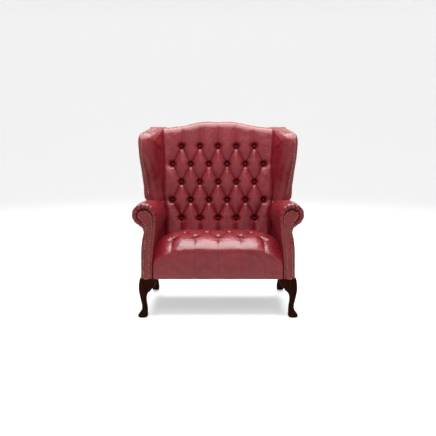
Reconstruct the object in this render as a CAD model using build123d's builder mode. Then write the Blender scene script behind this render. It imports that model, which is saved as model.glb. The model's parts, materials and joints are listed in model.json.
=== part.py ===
from build123d import *
import math
import os

os.makedirs("parts", exist_ok=True)

# The whole chair: z = 0 is the floor, the front faces -Y and x = 0 is the middle.
# The sitter's left is +X. Left pieces are drawn, and right ones mirror them.
chair_depth = 810
toe_reach = 20
border_y = toe_reach - chair_depth / 2
rail_underside = 222
leather = 2
soft_gap = 0.3
overrun = 20


def at_y(y):
    """The upright plane that crosses the chair at a depth y, seen from the front."""
    return Plane.XZ.offset(-y)


def at_x(x):
    """The upright plane at a distance x from the middle, with local x running back."""
    return Plane.YZ.offset(x)


def slope(degrees):
    return math.tan(math.radians(degrees))


# The raked planes of the back, each a distance behind the inside back's leather
rake = 12
back_foot_y = 135
back_foot_z = 420
back_depth = 126
outside_back_thick = 3
post_depth = 43
webbing_thick = 2
rear_behind = back_depth - outside_back_thick
post_behind = rear_behind - leather - post_depth


def back_y(behind, z):
    return back_foot_y + behind + slope(rake) * (z - back_foot_z)


def back_plane(behind):
    """The raked plane, facing the sitter, with its local y running up the slope."""
    lean = math.radians(rake)
    return Plane(
        origin=(0, back_foot_y + behind, back_foot_z),
        x_dir=(1, 0, 0),
        z_dir=(0, -math.cos(lean), math.sin(lean)),
    )


def up_slope(z):
    """How far up a raked plane the height z lies."""
    return (z - back_foot_z) / math.cos(math.radians(rake))


def before(form, behind):
    """What of a form stands before a raked plane."""
    with BuildPart() as kept:
        add(form)
        split(bisect_by=back_plane(behind), keep=Keep.TOP)
    return kept.part


def raked_slab(outline, front_behind, back_behind):
    """A board with an outline as seen from the front, between two raked planes."""
    with BuildPart() as slab:
        with BuildSketch(at_y(chair_depth)):
            add(outline)
        extrude(amount=2 * chair_depth)
        split(bisect_by=back_plane(back_behind), keep=Keep.TOP)
        split(bisect_by=back_plane(front_behind), keep=Keep.BOTTOM)
    return slab.part


def panel(half_or_low_x, high_x, low, high):
    """A four-sided outline between two x values and two heights."""
    with BuildSketch() as sheet:
        with BuildLine():
            Polyline(
                (half_or_low_x, low),
                (high_x, low),
                (high_x, high),
                (half_or_low_x, high),
                close=True,
            )
        make_face()
    return sheet.sketch


# Arm: a leaning slab with a scroll roll on it, both toed in to the rear
arm_front_y = border_y + 5
arm_inner_foot = 372
arm_outer_foot = 435
arm_inner_lean = 3.75
arm_outer_lean = 3.0
arm_inner_toe = 2.75
arm_outer_toe = 0.5
roll_x = 416
roll_z = 586
roll_radius = 65
roll_toe = 2.3
arm_front_radius = 12
arm_rear_y = chair_depth / 2
arm_pad = 34


def arm_face_x(inner_in=None, outer_in=None):
    """The inner or the outer face of the arm, moved inwards, as x at a place y, z."""
    if inner_in is not None:
        foot = arm_inner_foot + inner_in
        return lambda y, z: (
            foot
            - slope(arm_inner_lean) * (z - rail_underside)
            - slope(arm_inner_toe) * (y - border_y)
        )
    foot = arm_outer_foot - outer_in
    return lambda y, z: (
        foot
        - slope(arm_outer_lean) * (z - rail_underside)
        - slope(arm_outer_toe) * (y - border_y)
    )


def upright_x(x):
    return lambda y, z: x


def roll_centre_x(y):
    return roll_x - slope(roll_toe) * (y - border_y)


def arm_slab(inner, outer, front, rear, low, high):
    """A slab between two leaning faces of the arm."""
    with BuildPart() as slab:
        for y in (front, rear):
            with BuildSketch(at_y(y)):
                with BuildLine():
                    Polyline(
                        (inner(y, low), low),
                        (outer(y, low), low),
                        (outer(y, high), high),
                        (inner(y, high), high),
                        close=True,
                    )
                make_face()
        loft(ruled=True)
    return slab.part


def roll_bar(radius, front, rear):
    """A round bar on the roll's own toed-in axis."""
    with BuildPart() as bar:
        for y in (front, rear):
            with BuildSketch(at_y(y)):
                with Locations((roll_centre_x(y), roll_z)):
                    Circle(radius)
        loft(ruled=True)
    return bar.part


def arm_form(inset, run=0):
    """The arm's outer shape moved inwards, longer at the foot by a run."""
    front = arm_front_y + inset
    edge_radius = arm_front_radius - inset
    slab = arm_slab(
        arm_face_x(inner_in=inset),
        arm_face_x(outer_in=inset),
        front,
        arm_rear_y,
        rail_underside - run,
        roll_z,
    )
    roll = roll_bar(roll_radius - inset, front, arm_rear_y)
    with BuildPart() as soft_slab:
        add(slab)
        uprights = soft_slab.faces().sort_by(Axis.Y)[0].edges().sort_by(Axis.X)
        fillet([uprights[0], uprights[-1]], edge_radius)
    with BuildPart() as soft_roll:
        add(roll)
        fillet(soft_roll.faces().sort_by(Axis.Y)[0].edges(), edge_radius)
    with BuildPart() as form:
        add(soft_slab.part)
        add(soft_roll.part)
    return before(form.part, rear_behind - inset)


arm_outer = arm_form(0)
arm_inner = arm_form(leather, overrun)
arm_tool = arm_form(-soft_gap, overrun)

# Heights of the seat's frame, and of the deck of springs and hessian that it carries
rail_height = 95
rail_thick = 28
border_pad = 26
spring_wire = 4
clip_plate = 1.5
hessian_thick = 1.2
rail_top = rail_underside + rail_height
spring_z = rail_top + clip_plate + spring_wire / 2
hessian_z = spring_z + spring_wire / 2 + clip_plate
deck_z = hessian_z + hessian_thick
rail_front_y = border_y + border_pad
rail_back_y = rail_front_y + rail_thick

# Arm post: the beech board behind the arm's front, cut to the arm's shape
post_in = 8
post_out = 6
post_head_radius = 50
post_front_y = arm_front_y + 2 * leather
post_back_y = rail_back_y
post_slab = arm_slab(
    arm_face_x(inner_in=post_in),
    arm_face_x(outer_in=post_out),
    post_front_y,
    post_back_y,
    rail_underside,
    roll_z,
)
post_head = roll_bar(post_head_radius, post_front_y, post_back_y)

# Back posts: raked beech posts that stand on the rear legs and carry the crest rail
post_inner_x = 375
post_width = 35
post_top = 1026
back_post_solid = raked_slab(
    panel(post_inner_x, post_inner_x + post_width, rail_underside, post_top),
    post_behind,
    post_behind + post_depth,
)

# Arm top rail: a square bar inside the roll, from the arm post to the back post
top_rail_size = 40
with BuildPart() as top_rail_solid:
    for y in (post_back_y, arm_rear_y):
        with BuildSketch(at_y(y)):
            with Locations((roll_centre_x(y), roll_z)):
                Rectangle(top_rail_size, top_rail_size)
    loft(ruled=True)
    split(bisect_by=back_plane(post_behind), keep=Keep.TOP)

# The hollow inside the arm, which holds its rails, and the well under the seat's deck
hollow_top = roll_z - roll_radius - 2 * arm_front_radius
hollow_foot = rail_underside - overrun
arm_lining = arm_face_x(outer_in=leather)
with BuildPart() as arm_hollow:
    add(
        arm_slab(
            arm_face_x(inner_in=arm_pad),
            arm_lining,
            post_back_y,
            arm_rear_y,
            hollow_foot,
            hollow_top,
        )
    )
    add(
        arm_slab(
            upright_x(0),
            arm_face_x(inner_in=arm_pad),
            rail_front_y,
            arm_rear_y,
            hollow_foot,
            deck_z,
        )
    )
    add(
        raked_slab(
            panel(0, post_inner_x + post_width, hollow_foot, hollow_top),
            post_behind - webbing_thick,
            rear_behind,
        )
    )

# Outside arm: the leather on the arm's outer side, from under the roll to the rail
outside_arm_top = roll_z - roll_radius - arm_front_radius
outside_arm_start = arm_front_y + 2 * arm_front_radius
with BuildPart() as outside_arm_zone:
    add(
        arm_slab(
            arm_face_x(outer_in=leather),
            arm_face_x(outer_in=-leather),
            outside_arm_start,
            arm_rear_y,
            hollow_foot,
            outside_arm_top,
        )
    )

# Wing: a slab on the arm between a toed-out outer plane and a leaning inner plane
wing_rear_x = 437
wing_rear_y = 390
wing_rear_z = 1054
wing_outer_toe = 11.5
wing_outer_lean = 2.93
wing_inner_x = 350
wing_inner_y = 227
wing_inner_z = 854
wing_inner_toe = 15.6
wing_inner_lean = 6.8
wing_inner_radius = 40
wing_outer_radius = 15
wing_foot = 600


def facing_plane(x, y, z, toe, lean):
    """A near-upright plane through a place, facing outwards, with local y going up."""
    out = Vector(1, slope(toe), -slope(lean))
    return Plane(origin=(x, y, z), x_dir=(-slope(toe), 1, 0), z_dir=out)


wing_outer_plane = facing_plane(
    wing_rear_x, wing_rear_y, wing_rear_z, wing_outer_toe, wing_outer_lean
)
wing_inner_plane = facing_plane(
    wing_inner_x, wing_inner_y, wing_inner_z, wing_inner_toe, wing_inner_lean
)

# The wing's side view, as shares of its reach before the rear corner and of its rise
wing_reach = 299
wing_rise = 386
wing_brow_shares = ((0.80, 1), (0.58, 1.03), (0.36, 1.05), (0.16, 1.075), (0, 1.14))
wing_front_shares = ((0.80, -0.15), (0.80, 0.23), (0.875, 0.40), (0.965, 0.58), (1, 0.76))
wing_base_z = wing_rear_z - wing_rise * wing_brow_shares[-1][1]


def wing_spot(plane, shares, inset=0):
    """A place of the side view on a plane of the wing, moved back and down."""
    y = wing_rear_y - shares[0] * wing_reach + inset
    z = wing_base_z + shares[1] * wing_rise - inset
    across = Vector(0, y, z) - plane.origin
    x = plane.origin.X - across.dot(plane.z_dir) / plane.z_dir.X
    return plane.to_local_coords(Vector(x + across.X, y, z))


def wing_edges(plane, inset=0):
    """The front, the corner and the top of the wing's side view, as three edges."""
    front = [wing_spot(plane, shares, inset) for shares in wing_front_shares]
    brow = [wing_spot(plane, shares, inset) for shares in wing_brow_shares]
    rise = Spline(*front, tangents=((0, 1), (0, 1)))
    corner = TangentArc(rise @ 1, brow[0], tangent=rise % 1)
    top = Spline(*brow, tangents=(corner % 1, (1, slope(2 * rake))))
    return [rise, corner, top]


def wing_section(plane, inset):
    """The wing's side view as a face on one of its planes, reaching behind the chair."""
    edges = wing_edges(plane, inset)
    start = edges[0] @ 0
    end = edges[-1] @ 1
    far = Vector(chair_depth / 2, 0)
    with BuildSketch() as face:
        with BuildLine():
            add(edges)
            Polyline(end, end + far, Vector((end + far).X, start.Y), start)
        make_face()
    return face.sketch


wing_round_steps = 3


def wing_form(inset):
    """The wing's outer shape moved inwards: sections that shrink round its edges."""
    outer_radius = wing_outer_radius - inset
    inner_radius = wing_inner_radius - inset
    turns = [step * math.pi / 2 / wing_round_steps for step in range(wing_round_steps + 1)]
    outer_start = wing_outer_plane.offset(-wing_outer_radius)
    inner_start = wing_inner_plane.offset(wing_inner_radius)
    with BuildPart() as form:
        for turn in reversed(turns):
            plane = outer_start.offset(outer_radius * math.sin(turn))
            section = wing_section(plane, inset + outer_radius * (1 - math.cos(turn)))
            with BuildSketch(plane):
                add(section)
        for turn in turns:
            plane = inner_start.offset(-inner_radius * math.sin(turn))
            section = wing_section(plane, inset + inner_radius * (1 - math.cos(turn)))
            with BuildSketch(plane):
                add(section)
        loft(ruled=True)
        split(bisect_by=back_plane(rear_behind - inset), keep=Keep.TOP)
        split(bisect_by=Plane.XY.offset(wing_foot - inset), keep=Keep.TOP)
    return form.part


wing_outer = wing_form(0)
wing_tool = wing_form(-soft_gap)

# The wing's plain core of padding, under a layer of leather and wadding
wing_quilt = 14
with BuildPart() as wing_core:
    for core_plane in (wing_outer_plane.offset(-leather), wing_inner_plane.offset(wing_quilt)):
        core_section = wing_section(core_plane, wing_quilt)
        with BuildSketch(core_plane):
            add(core_section)
    loft(ruled=True)
    split(bisect_by=back_plane(rear_behind - leather), keep=Keep.TOP)

# Wing post and top rail: beech bars in the wing's plane, between the arm and the crest
wing_frame_in = 38
wing_frame_thick = 28
wing_post_reach_share = 0.66
wing_post_depth = 36
wing_post_top_share = 0.9
wing_rail_height = 30
wing_rail_reach_share = 0.1


def wing_bar(corner_shares, down, back):
    """A bar in the wing's plane from one place of its side view, down and back."""
    plane = wing_outer_plane.offset(-wing_frame_in)
    corner = wing_spot(plane, corner_shares)
    with BuildPart() as bar:
        with BuildSketch(plane):
            with Locations((corner.X, corner.Y)):
                Rectangle(back, down, align=(Align.MIN, Align.MAX))
        extrude(amount=-wing_frame_thick)
    return bar.part


wing_post_long = wing_bar(
    (wing_post_reach_share, wing_post_top_share), wing_rise, wing_post_depth
)
with BuildPart() as wing_post:
    add(wing_post_long)
    split(bisect_by=Plane.XY.offset(roll_z + top_rail_size / 2), keep=Keep.TOP)
wing_rail_long = wing_bar(
    (wing_post_reach_share, wing_post_top_share), wing_rail_height, wing_reach
)
with BuildPart() as wing_top_rail:
    add(wing_rail_long)
    add(wing_post_long, mode=Mode.SUBTRACT)
    split(bisect_by=back_plane(post_behind), keep=Keep.TOP)

# The space behind the inside back between the posts, which the back's frame takes
crest_rail_low = 985
wing_hollow_top = 1020
with BuildPart() as wing_hollow:
    add(
        raked_slab(
            panel(0, post_inner_x, roll_z - roll_radius, wing_hollow_top),
            post_behind - webbing_thick,
            back_depth,
        )
    )

# Outside wing: the leather panel on the wing's outer side, nailed along its edge
wing_nail_in = 17
outside_wing_face = wing_section(wing_outer_plane, wing_outer_radius)
with BuildPart() as outside_wing_zone:
    with BuildSketch(wing_outer_plane.offset(overrun)):
        add(outside_wing_face)
    extrude(amount=-overrun - leather)

# Crest: the serpentine top of the back, as shares of its half width and its rise
crest_half = 371
crest_rise = 41
crest_z = 1051
crest_shares = ((1.2, 0), (1, 0), (0.827, 0.07), (0.639, 0.302), (0.466, 0.581), (0.326, 0.907))


def crest_spots(drop):
    right = [
        (-x * crest_half, crest_z - drop + z * crest_rise) for x, z in crest_shares
    ]
    left = [(-x, z) for x, z in reversed(right)]
    return right + [(0, crest_z - drop + crest_rise)] + left


def crest_outline(drop, half, foot):
    """The back as seen from the front, under a crest that is lowered by a drop."""
    spots = crest_spots(drop)
    edge = crest_half * crest_shares[0][0]
    window = panel(-half, half, foot, crest_z + edge)
    with BuildSketch() as face:
        with BuildLine():
            Spline(*spots)
            Polyline(spots[-1], (edge, foot), (-edge, foot), spots[0])
        make_face()
        add(window, mode=Mode.INTERSECT)
    return face.sketch


# Deep buttoning: rows of buttons in diamonds, with a fold of leather along each side
button_radius = 10
button_height = 7
button_seat = 10.6


def fold_section(radius, half_width):
    """A fold's cross-section: two round shoulders that meet, seen along the fold."""
    side = math.sqrt(radius**2 - half_width**2)
    turn = (math.pi / 2 + math.acos(-half_width / radius)) / 2
    near_x = half_width + radius * math.cos(turn)
    near_y = -radius + radius * math.sin(turn)
    with BuildSketch() as section:
        with BuildLine():
            ThreePointArc((half_width, 0), (near_x, near_y), (0, side - radius))
            ThreePointArc((0, side - radius), (-near_x, near_y), (-half_width, 0))
            Polyline(
                (-half_width, 0), (-half_width, overrun), (half_width, overrun), (half_width, 0)
            )
        make_face()
    return section.sketch


def fold(start, end, out, section):
    """A fold's cutter from one place to another, with its shoulders facing out."""
    along = (end - start).normalized()
    across = out.cross(along)
    with BuildPart() as cutter:
        with BuildSketch(Plane(origin=start, x_dir=across, z_dir=along)):
            add(section)
        extrude(amount=(end - start).length)
    return cutter.part


def pit(place, depth, half_width):
    """A button's pit: a flat seat under round shoulders, turned about the plane's axis."""
    radius = ((half_width - button_seat) ** 2 + depth**2) / (2 * depth)
    turn = (math.pi / 2 + math.acos((button_seat - half_width) / radius)) / 2
    middle = (half_width + radius * math.cos(turn), -radius + radius * math.sin(turn))
    upright = Plane(origin=place.origin, x_dir=place.x_dir, z_dir=-place.y_dir)
    with BuildPart() as cutter:
        with BuildSketch(upright):
            with BuildLine():
                ThreePointArc((button_seat, -depth), middle, (half_width, 0))
                Polyline(
                    (half_width, 0),
                    (half_width, overrun),
                    (0, overrun),
                    (0, -depth),
                    (button_seat, -depth),
                )
            make_face()
        revolve(axis=Axis(place.origin, place.z_dir))
    return cutter.part


# Buttons of the back: rows of five and six, half a pitch apart
back_button_pitch = 115
back_button_row = 111.5
back_button_top = 942
back_row_counts = (5, 6, 5, 6, 5)
back_fold_radius = 46
back_fold_half = 36
back_pit_depth = 25
back_pit_half = 46


def back_spot(x, z):
    return back_plane(0).from_local_coords(Vector(x, up_slope(z), 0))


def back_row(row):
    """The buttons' x and z of a row, counted from the top."""
    z = back_button_top - row * back_button_row
    count = back_row_counts[row]
    return [((place - (count - 1) / 2) * back_button_pitch, z) for place in range(count)]


def diagonals(rows):
    """The straight runs of folds that go down through the rows, one button to the next."""
    lines = []
    places = [place for row in rows for place in row]
    step = [(x - places[0][0], z - places[0][1]) for x, z in rows[1][:2]]
    for move_x, move_z in step:
        for x, z in places:
            if not near((x - move_x, z - move_z), places):
                end = (x, z)
                while near((end[0] + move_x, end[1] + move_z), places):
                    end = (end[0] + move_x, end[1] + move_z)
                if end != (x, z):
                    lines.append(((x, z), end))
    return lines


def near(spot, places):
    """Whether a button is at a spot, give or take the leather's thickness."""
    return any(math.dist(spot, place) < leather for place in places)


def back_tufts():
    """The cutters of the back's pits and of the folds between them."""
    rows = [back_row(row) for row in range(len(back_row_counts))]
    out = back_plane(0).z_dir
    section = fold_section(back_fold_radius, back_fold_half)
    lines = diagonals(rows)
    lines += [((x, z), (x, crest_z + 2 * crest_rise)) for x, z in rows[0]]
    lines += [((x, z), (x, deck_z)) for x, z in rows[-1]]
    for row in rows:
        if len(row) == max(back_row_counts):
            lines += [((x, z), (math.copysign(crest_half, x), z)) for x, z in (row[0], row[-1])]
    cutters = [fold(back_spot(*start), back_spot(*end), out, section) for start, end in lines]
    for x, z in sum(rows, []):
        place = Plane(origin=back_spot(x, z), x_dir=(1, 0, 0), z_dir=out)
        cutters.append(pit(place, back_pit_depth, back_pit_half))
    return cutters


crest_radius = 34


def curved_rim(form, plane):
    """The edges that aren't straight of a form's face on a plane."""
    faces = form.faces().filter_by(GeomType.PLANE)
    nearest = faces.sort_by(lambda face: abs(plane.to_local_coords(face.center()).Z))[0]
    return [edge for edge in nearest.edges() if edge.geom_type != GeomType.LINE]


def back_form():
    """The inside back's outer shape, without its buttoning."""
    outline = crest_outline(0, crest_half, deck_z)
    with BuildPart() as form:
        add(raked_slab(outline, 0, rear_behind))
        fillet(curved_rim(form.part, back_plane(0)), crest_radius)
    return form.part


def both_sides(part):
    """A left piece and its mirror image on the right."""
    return [part, mirror(part, about=Plane.YZ)]


# Crest rail, back rail and rear seat rail: they join the two back posts
crest_pad = 30
crest_rail_solid = raked_slab(
    crest_outline(crest_pad, post_inner_x, crest_rail_low),
    post_behind,
    post_behind + post_depth,
)
back_rail_low = deck_z + 15
back_rail_height = 40
back_tack_rail = raked_slab(
    panel(-post_inner_x, post_inner_x, back_rail_low, back_rail_low + back_rail_height),
    post_behind,
    post_behind + rail_thick,
)
rear_rail_solid = raked_slab(
    panel(-post_inner_x, post_inner_x, rail_underside, rail_top),
    post_behind,
    post_behind + post_depth,
)

# Seat: sections from front to back, lofted from arm to arm, pinched at the front folds
seat_crown_z = 455
seat_crown_y = -130
seat_rear_y = 170
seat_half = 372
seat_fall_shares = ((0, 0), (0.45, 0), (0.61, 0.08), (0.77, 0.3), (0.9, 0.62), (1, 1))
seat_fall = 75
seat_button_pitch = 133
seat_front_count = 5
pinch_width = 9
pinch_depth = 7
border_belly = 3
border_low_z = rail_underside
border_shoulder = 63
front_round = 33
front_round_drop = 22
seat_rear_drop = 14


def seat_drop(x):
    """How far the seat's crown has fallen at a distance from the middle."""
    share = min(abs(x) / seat_half, 1)
    for (near_share, near_fall), (far_share, far_fall) in zip(
        seat_fall_shares, seat_fall_shares[1:]
    ):
        if share <= far_share:
            part = (share - near_share) / (far_share - near_share)
            return seat_fall * (near_fall + part * (far_fall - near_fall))
    return seat_fall


def seat_stations():
    """The places on the seat's left half where a section stands, with each one's pinch."""
    folds = [
        (place - (seat_front_count - 1) / 2) * seat_button_pitch
        for place in range(seat_front_count)
    ]
    stations = []
    for x in folds:
        stations += [(x - pinch_width, 0), (x, pinch_depth), (x + pinch_width, 0)]
    for low, high in zip(folds, folds[1:]):
        stations.append(((low + high) / 2, -border_belly))
    edge = seat_half + overrun
    stations += [(-edge, 0), (edge, 0)]
    stations += [(-seat_half * 0.9, -border_belly), (seat_half * 0.9, -border_belly)]
    return sorted(station for station in stations if station[0] >= 0)


def seat_section(x, pinch, inset, run):
    """A side view of the seat: border, front roll, crown and back."""
    drop = seat_drop(x)
    front = border_y + inset + pinch
    crown = seat_crown_z - drop - inset
    shoulder = (front, crown - border_shoulder)
    over = (front + front_round, crown - front_round_drop)
    with BuildSketch() as face:
        with BuildLine():
            roll = TangentArc(shoulder, over, tangent=(0, 1))
            rise = TangentArc(over, (seat_crown_y, crown), tangent=roll % 1)
            TangentArc(
                rise @ 1, (seat_rear_y, crown - seat_rear_drop), tangent=rise % 1
            )
            Polyline(
                (seat_rear_y, crown - seat_rear_drop),
                (seat_rear_y, border_low_z - run),
                (front, border_low_z - run),
                shoulder,
            )
        make_face()
    return face.sketch


def seat_form(inset, stations, run=0):
    """The left half of the seat's shape moved inwards, longer at the foot by a run."""
    sections = [(x, seat_section(x, pinch, inset, run)) for x, pinch in stations]
    with BuildPart() as form:
        for x, section in sections:
            with BuildSketch(at_x(x)):
                add(section)
        loft(ruled=True)
    return form.part


# Buttons of the seat: three rows, half a pitch apart, from the front roll backwards
seat_button_y = -240
seat_button_row = 115
seat_row_counts = (5, 4, 5)
seat_fold_radius = 36
seat_fold_half = 26
seat_pit_depth = 18
seat_pit_half = 36
front_fold_end_y = border_y + 8


def seat_spot(x, y):
    """A place on the seat's leather."""
    crown = seat_crown_z - seat_drop(x)
    if y < seat_crown_y:
        over_y = border_y + front_round
        fall = front_round_drop * ((y - seat_crown_y) / (over_y - seat_crown_y)) ** 2
    else:
        fall = seat_rear_drop * ((y - seat_crown_y) / (seat_rear_y - seat_crown_y)) ** 2
    return Vector(x, y, crown - fall)


def seat_row(row):
    """The buttons' places of a row, counted from the front."""
    count = seat_row_counts[row]
    y = seat_button_y + row * seat_button_row
    return [seat_spot((p - (count - 1) / 2) * seat_button_pitch, y) for p in range(count)]


def seat_tufts():
    """The cutters of the seat's pits and of the folds between them."""
    rows = [seat_row(row) for row in range(len(seat_row_counts))]
    out = Vector(0, 0, 1)
    section = fold_section(seat_fold_radius, seat_fold_half)
    lines = []
    for row, next_row in zip(rows, rows[1:]):
        for start in row:
            for end in next_row:
                if abs(start.X - end.X) < seat_button_pitch:
                    lines.append((start, end))
    lines += [(start, seat_spot(start.X, front_fold_end_y)) for start in rows[0]]
    lines += [(start, seat_spot(start.X, seat_rear_y + overrun)) for start in rows[-1]]
    cutters = []
    for start, end in lines:
        along = (end - start).normalized()
        upright = (out - along * out.dot(along)).normalized()
        cutters.append(fold(start, end, upright, section))
    for spot in sum(rows, []):
        place = Plane(origin=spot, x_dir=(1, 0, 0), z_dir=out)
        cutters.append(pit(place, seat_pit_depth, seat_pit_half))
    return cutters


# Seat: a buttoned layer of leather and wadding, over a plain core of padding. Both are
# drawn on the left of the middle, and their right halves mirror them
seat_quilt = border_pad


def whole(half):
    """A piece that crosses the middle, from its left half."""
    with BuildPart() as both:
        add(half)
        add(mirror(half, about=Plane.YZ))
    return both.part


def on_left(cutters):
    """The cutters that reach the left half of the chair."""
    return [cutter for cutter in cutters if cutter.bounding_box().max.X > soft_gap]


beside_arm_front = arm_slab(
    arm_face_x(inner_in=-soft_gap),
    upright_x(2 * arm_outer_foot),
    border_y - overrun,
    arm_front_y + 2 * arm_front_radius,
    hollow_foot,
    roll_z,
)
core_stations = [(share * seat_half, 0) for share, fall in seat_fall_shares]
core_stations[-1] = (seat_half + overrun, 0)
seat_core = seat_form(seat_quilt, core_stations, overrun)
with BuildPart() as seat_cover_half:
    add(seat_form(0, seat_stations()))
    add([seat_core, arm_tool, beside_arm_front], mode=Mode.SUBTRACT)
    split(bisect_by=back_plane(-soft_gap), keep=Keep.TOP)
    add(on_left(seat_tufts()), mode=Mode.SUBTRACT)
with BuildPart() as seat_padding_half:
    add(seat_core)
    split(bisect_by=Plane.XY.offset(deck_z), keep=Keep.TOP)
    add(arm_tool, mode=Mode.SUBTRACT)
    split(bisect_by=back_plane(-soft_gap), keep=Keep.TOP)
seat_cover = whole(seat_cover_half.part)
seat_padding = whole(seat_padding_half.part)

# Inside back: a buttoned layer that wraps over the crest rail, and padding behind it
back_quilt = 32
back_core_half = raked_slab(
    crest_outline(crest_pad, crest_half, deck_z - overrun), back_quilt, chair_depth / 2
)
with BuildPart() as back_cover_half:
    add(back_form())
    split(bisect_by=Plane.YZ, keep=Keep.TOP)
    add([back_core_half, arm_tool, wing_tool], mode=Mode.SUBTRACT)
    add(on_left(back_tufts()), mode=Mode.SUBTRACT)
with BuildPart() as back_padding_half:
    add(
        raked_slab(
            crest_outline(crest_pad, crest_half, deck_z),
            back_quilt,
            post_behind - webbing_thick,
        )
    )
    split(bisect_by=Plane.YZ, keep=Keep.TOP)
    add([arm_tool, wing_tool], mode=Mode.SUBTRACT)
back_cover = whole(back_cover_half.part)
back_padding = whole(back_padding_half.part)

# Dowels: pins in the frame's joints, each given by its middle and the way it runs
dowel_radius = 4
dowel_length = 50
dowel_slack = 0.1
dowel_first_z = rail_underside + 40
dowel_step = 13
across = (0, 90, 0)
along = (90, 0, 0)
rail_middle_y = rail_front_y + rail_thick / 2
side_rail_x = 384
side_rail_middle = side_rail_x + rail_thick / 2
post_middle_x = post_inner_x + post_width / 2
post_middle_behind = post_behind + post_depth / 2
dowel_spots = []
for place in (0, 2):
    z = dowel_first_z + place * dowel_step
    face_x = arm_face_x(inner_in=post_in)(rail_middle_y, z)
    dowel_spots.append(Location((face_x, rail_middle_y, z), across))
    dowel_spots.append(Location((post_inner_x, back_y(post_middle_behind, z), z), across))
    z = z + dowel_step
    dowel_spots.append(Location((side_rail_middle, post_back_y, z), along))
    dowel_spots.append(Location((side_rail_middle, back_y(post_behind, z), z), along))
for side in (-1, 1):
    z = roll_z + side * top_rail_size / 4
    dowel_spots.append(Location((roll_centre_x(post_back_y), post_back_y, z), along))
    dowel_spots.append(Location((post_middle_x, back_y(post_behind, z), z), along))
    z = crest_rail_low + (side + 2) * dowel_step / 2
    dowel_spots.append(Location((post_inner_x, back_y(post_middle_behind, z), z), across))


def dowel_pins(slack):
    with BuildPart() as pins:
        with Locations(*dowel_spots):
            Cylinder(dowel_radius + slack, dowel_length + 2 * slack)
    return pins.part


# Leg bolts: up from the middle of each leg into the post that stands on it
bolt_radius = 5
bolt_length = 64
front_leg_x = 412
front_leg_y = -358
rear_leg_x = 397
rear_leg_y = 192


def bolt_pins(slack):
    with BuildPart() as pins:
        with Locations(
            (front_leg_x, front_leg_y, rail_underside),
            (rear_leg_x, rear_leg_y, rail_underside),
        ):
            Cylinder(bolt_radius + slack, bolt_length + 2 * slack)
    return pins.part


frame_holes = both_sides(dowel_pins(dowel_slack)) + both_sides(bolt_pins(dowel_slack))
frame_dowels = both_sides(dowel_pins(0))
leg_bolts = both_sides(bolt_pins(0))


def drilled(solids):
    """A wooden member made of solids, with the holes for its dowels and bolts."""
    with BuildPart() as member:
        add(solids)
        add(frame_holes, mode=Mode.SUBTRACT)
    return member.part


# Frame: posts and rails of beech, with the side rails between the posts
arm_post = drilled([post_slab, post_head])
back_post = drilled(back_post_solid)
arm_top_rail = drilled(top_rail_solid.part)
crest_rail = drilled(crest_rail_solid)
rear_seat_rail = drilled(rear_rail_solid)
front_rail_half = arm_slab(
    upright_x(0),
    arm_face_x(inner_in=post_in),
    rail_front_y,
    rail_back_y,
    rail_underside,
    rail_top,
)
front_seat_rail = drilled(whole(front_rail_half))
with BuildPart() as side_rail_solid:
    with Locations((side_rail_x, post_back_y, rail_underside)):
        Box(
            rail_thick,
            chair_depth,
            rail_height,
            align=(Align.MIN, Align.MIN, Align.MIN),
        )
    split(bisect_by=back_plane(post_behind), keep=Keep.TOP)
side_seat_rail = drilled(side_rail_solid.part)

# Arm tack rail: the inside arm's leather and padding are fixed along it
tack_rail_height = 32
tack_rail_thick = 20
with BuildPart() as arm_tack_rail:
    add(
        arm_slab(
            arm_face_x(inner_in=arm_pad),
            arm_face_x(inner_in=arm_pad + tack_rail_thick),
            post_back_y,
            arm_rear_y,
            deck_z,
            deck_z + tack_rail_height,
        )
    )
    split(bisect_by=back_plane(post_behind), keep=Keep.TOP)

# Corner blocks: triangles glued and screwed into the corners of the seat's frame
block_reach = 70
block_height = 60
block_z = rail_underside + (rail_height - block_height) / 2
rear_corner_y = back_y(post_behind, block_z)


def corner_block(corner_y, reach_y):
    with BuildPart() as block:
        with BuildSketch(Plane.XY.offset(block_z)):
            with BuildLine():
                Polyline(
                    (side_rail_x, corner_y),
                    (side_rail_x - block_reach, corner_y),
                    (side_rail_x, corner_y + reach_y),
                    close=True,
                )
            make_face()
        extrude(amount=block_height)
        add(post_slab, mode=Mode.SUBTRACT)
        split(bisect_by=back_plane(post_behind), keep=Keep.TOP)
    return block.part


seat_corner_blocks = both_sides(corner_block(rail_back_y, block_reach))
seat_corner_blocks += both_sides(corner_block(rear_corner_y, -block_reach))

# Zigzag springs: steel wire bent to and fro, from the front rail to the rear rail
spring_count = 8
spring_pitch = 80
spring_half = 20
spring_step = 21.3
spring_turns = 26
spring_start_y = rail_front_y + rail_thick / 3
spring_end_y = spring_start_y + spring_turns * spring_step
spring_spots = [((n - (spring_count - 1) / 2) * spring_pitch, 0, 0) for n in range(spring_count)]
with BuildPart() as one_spring:
    with BuildLine(Plane.XY.offset(spring_z)) as spring_path:
        for turn in range(spring_turns + 1):
            y = spring_start_y + turn * spring_step
            side = spring_half if turn % 2 else -spring_half
            Line((side, y), (-side, y))
            if turn < spring_turns:
                bend = -side - math.copysign(spring_step / 2, side)
                ThreePointArc((-side, y), (bend, y + spring_step / 2), (-side, y + spring_step))
    with BuildSketch(Plane(origin=(-spring_half, spring_start_y, spring_z), z_dir=(1, 0, 0))):
        Circle(spring_wire / 2)
    sweep(path=spring_path.wire())
seat_springs = [one_spring.part.moved(Location(spot)) for spot in spring_spots]

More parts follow.
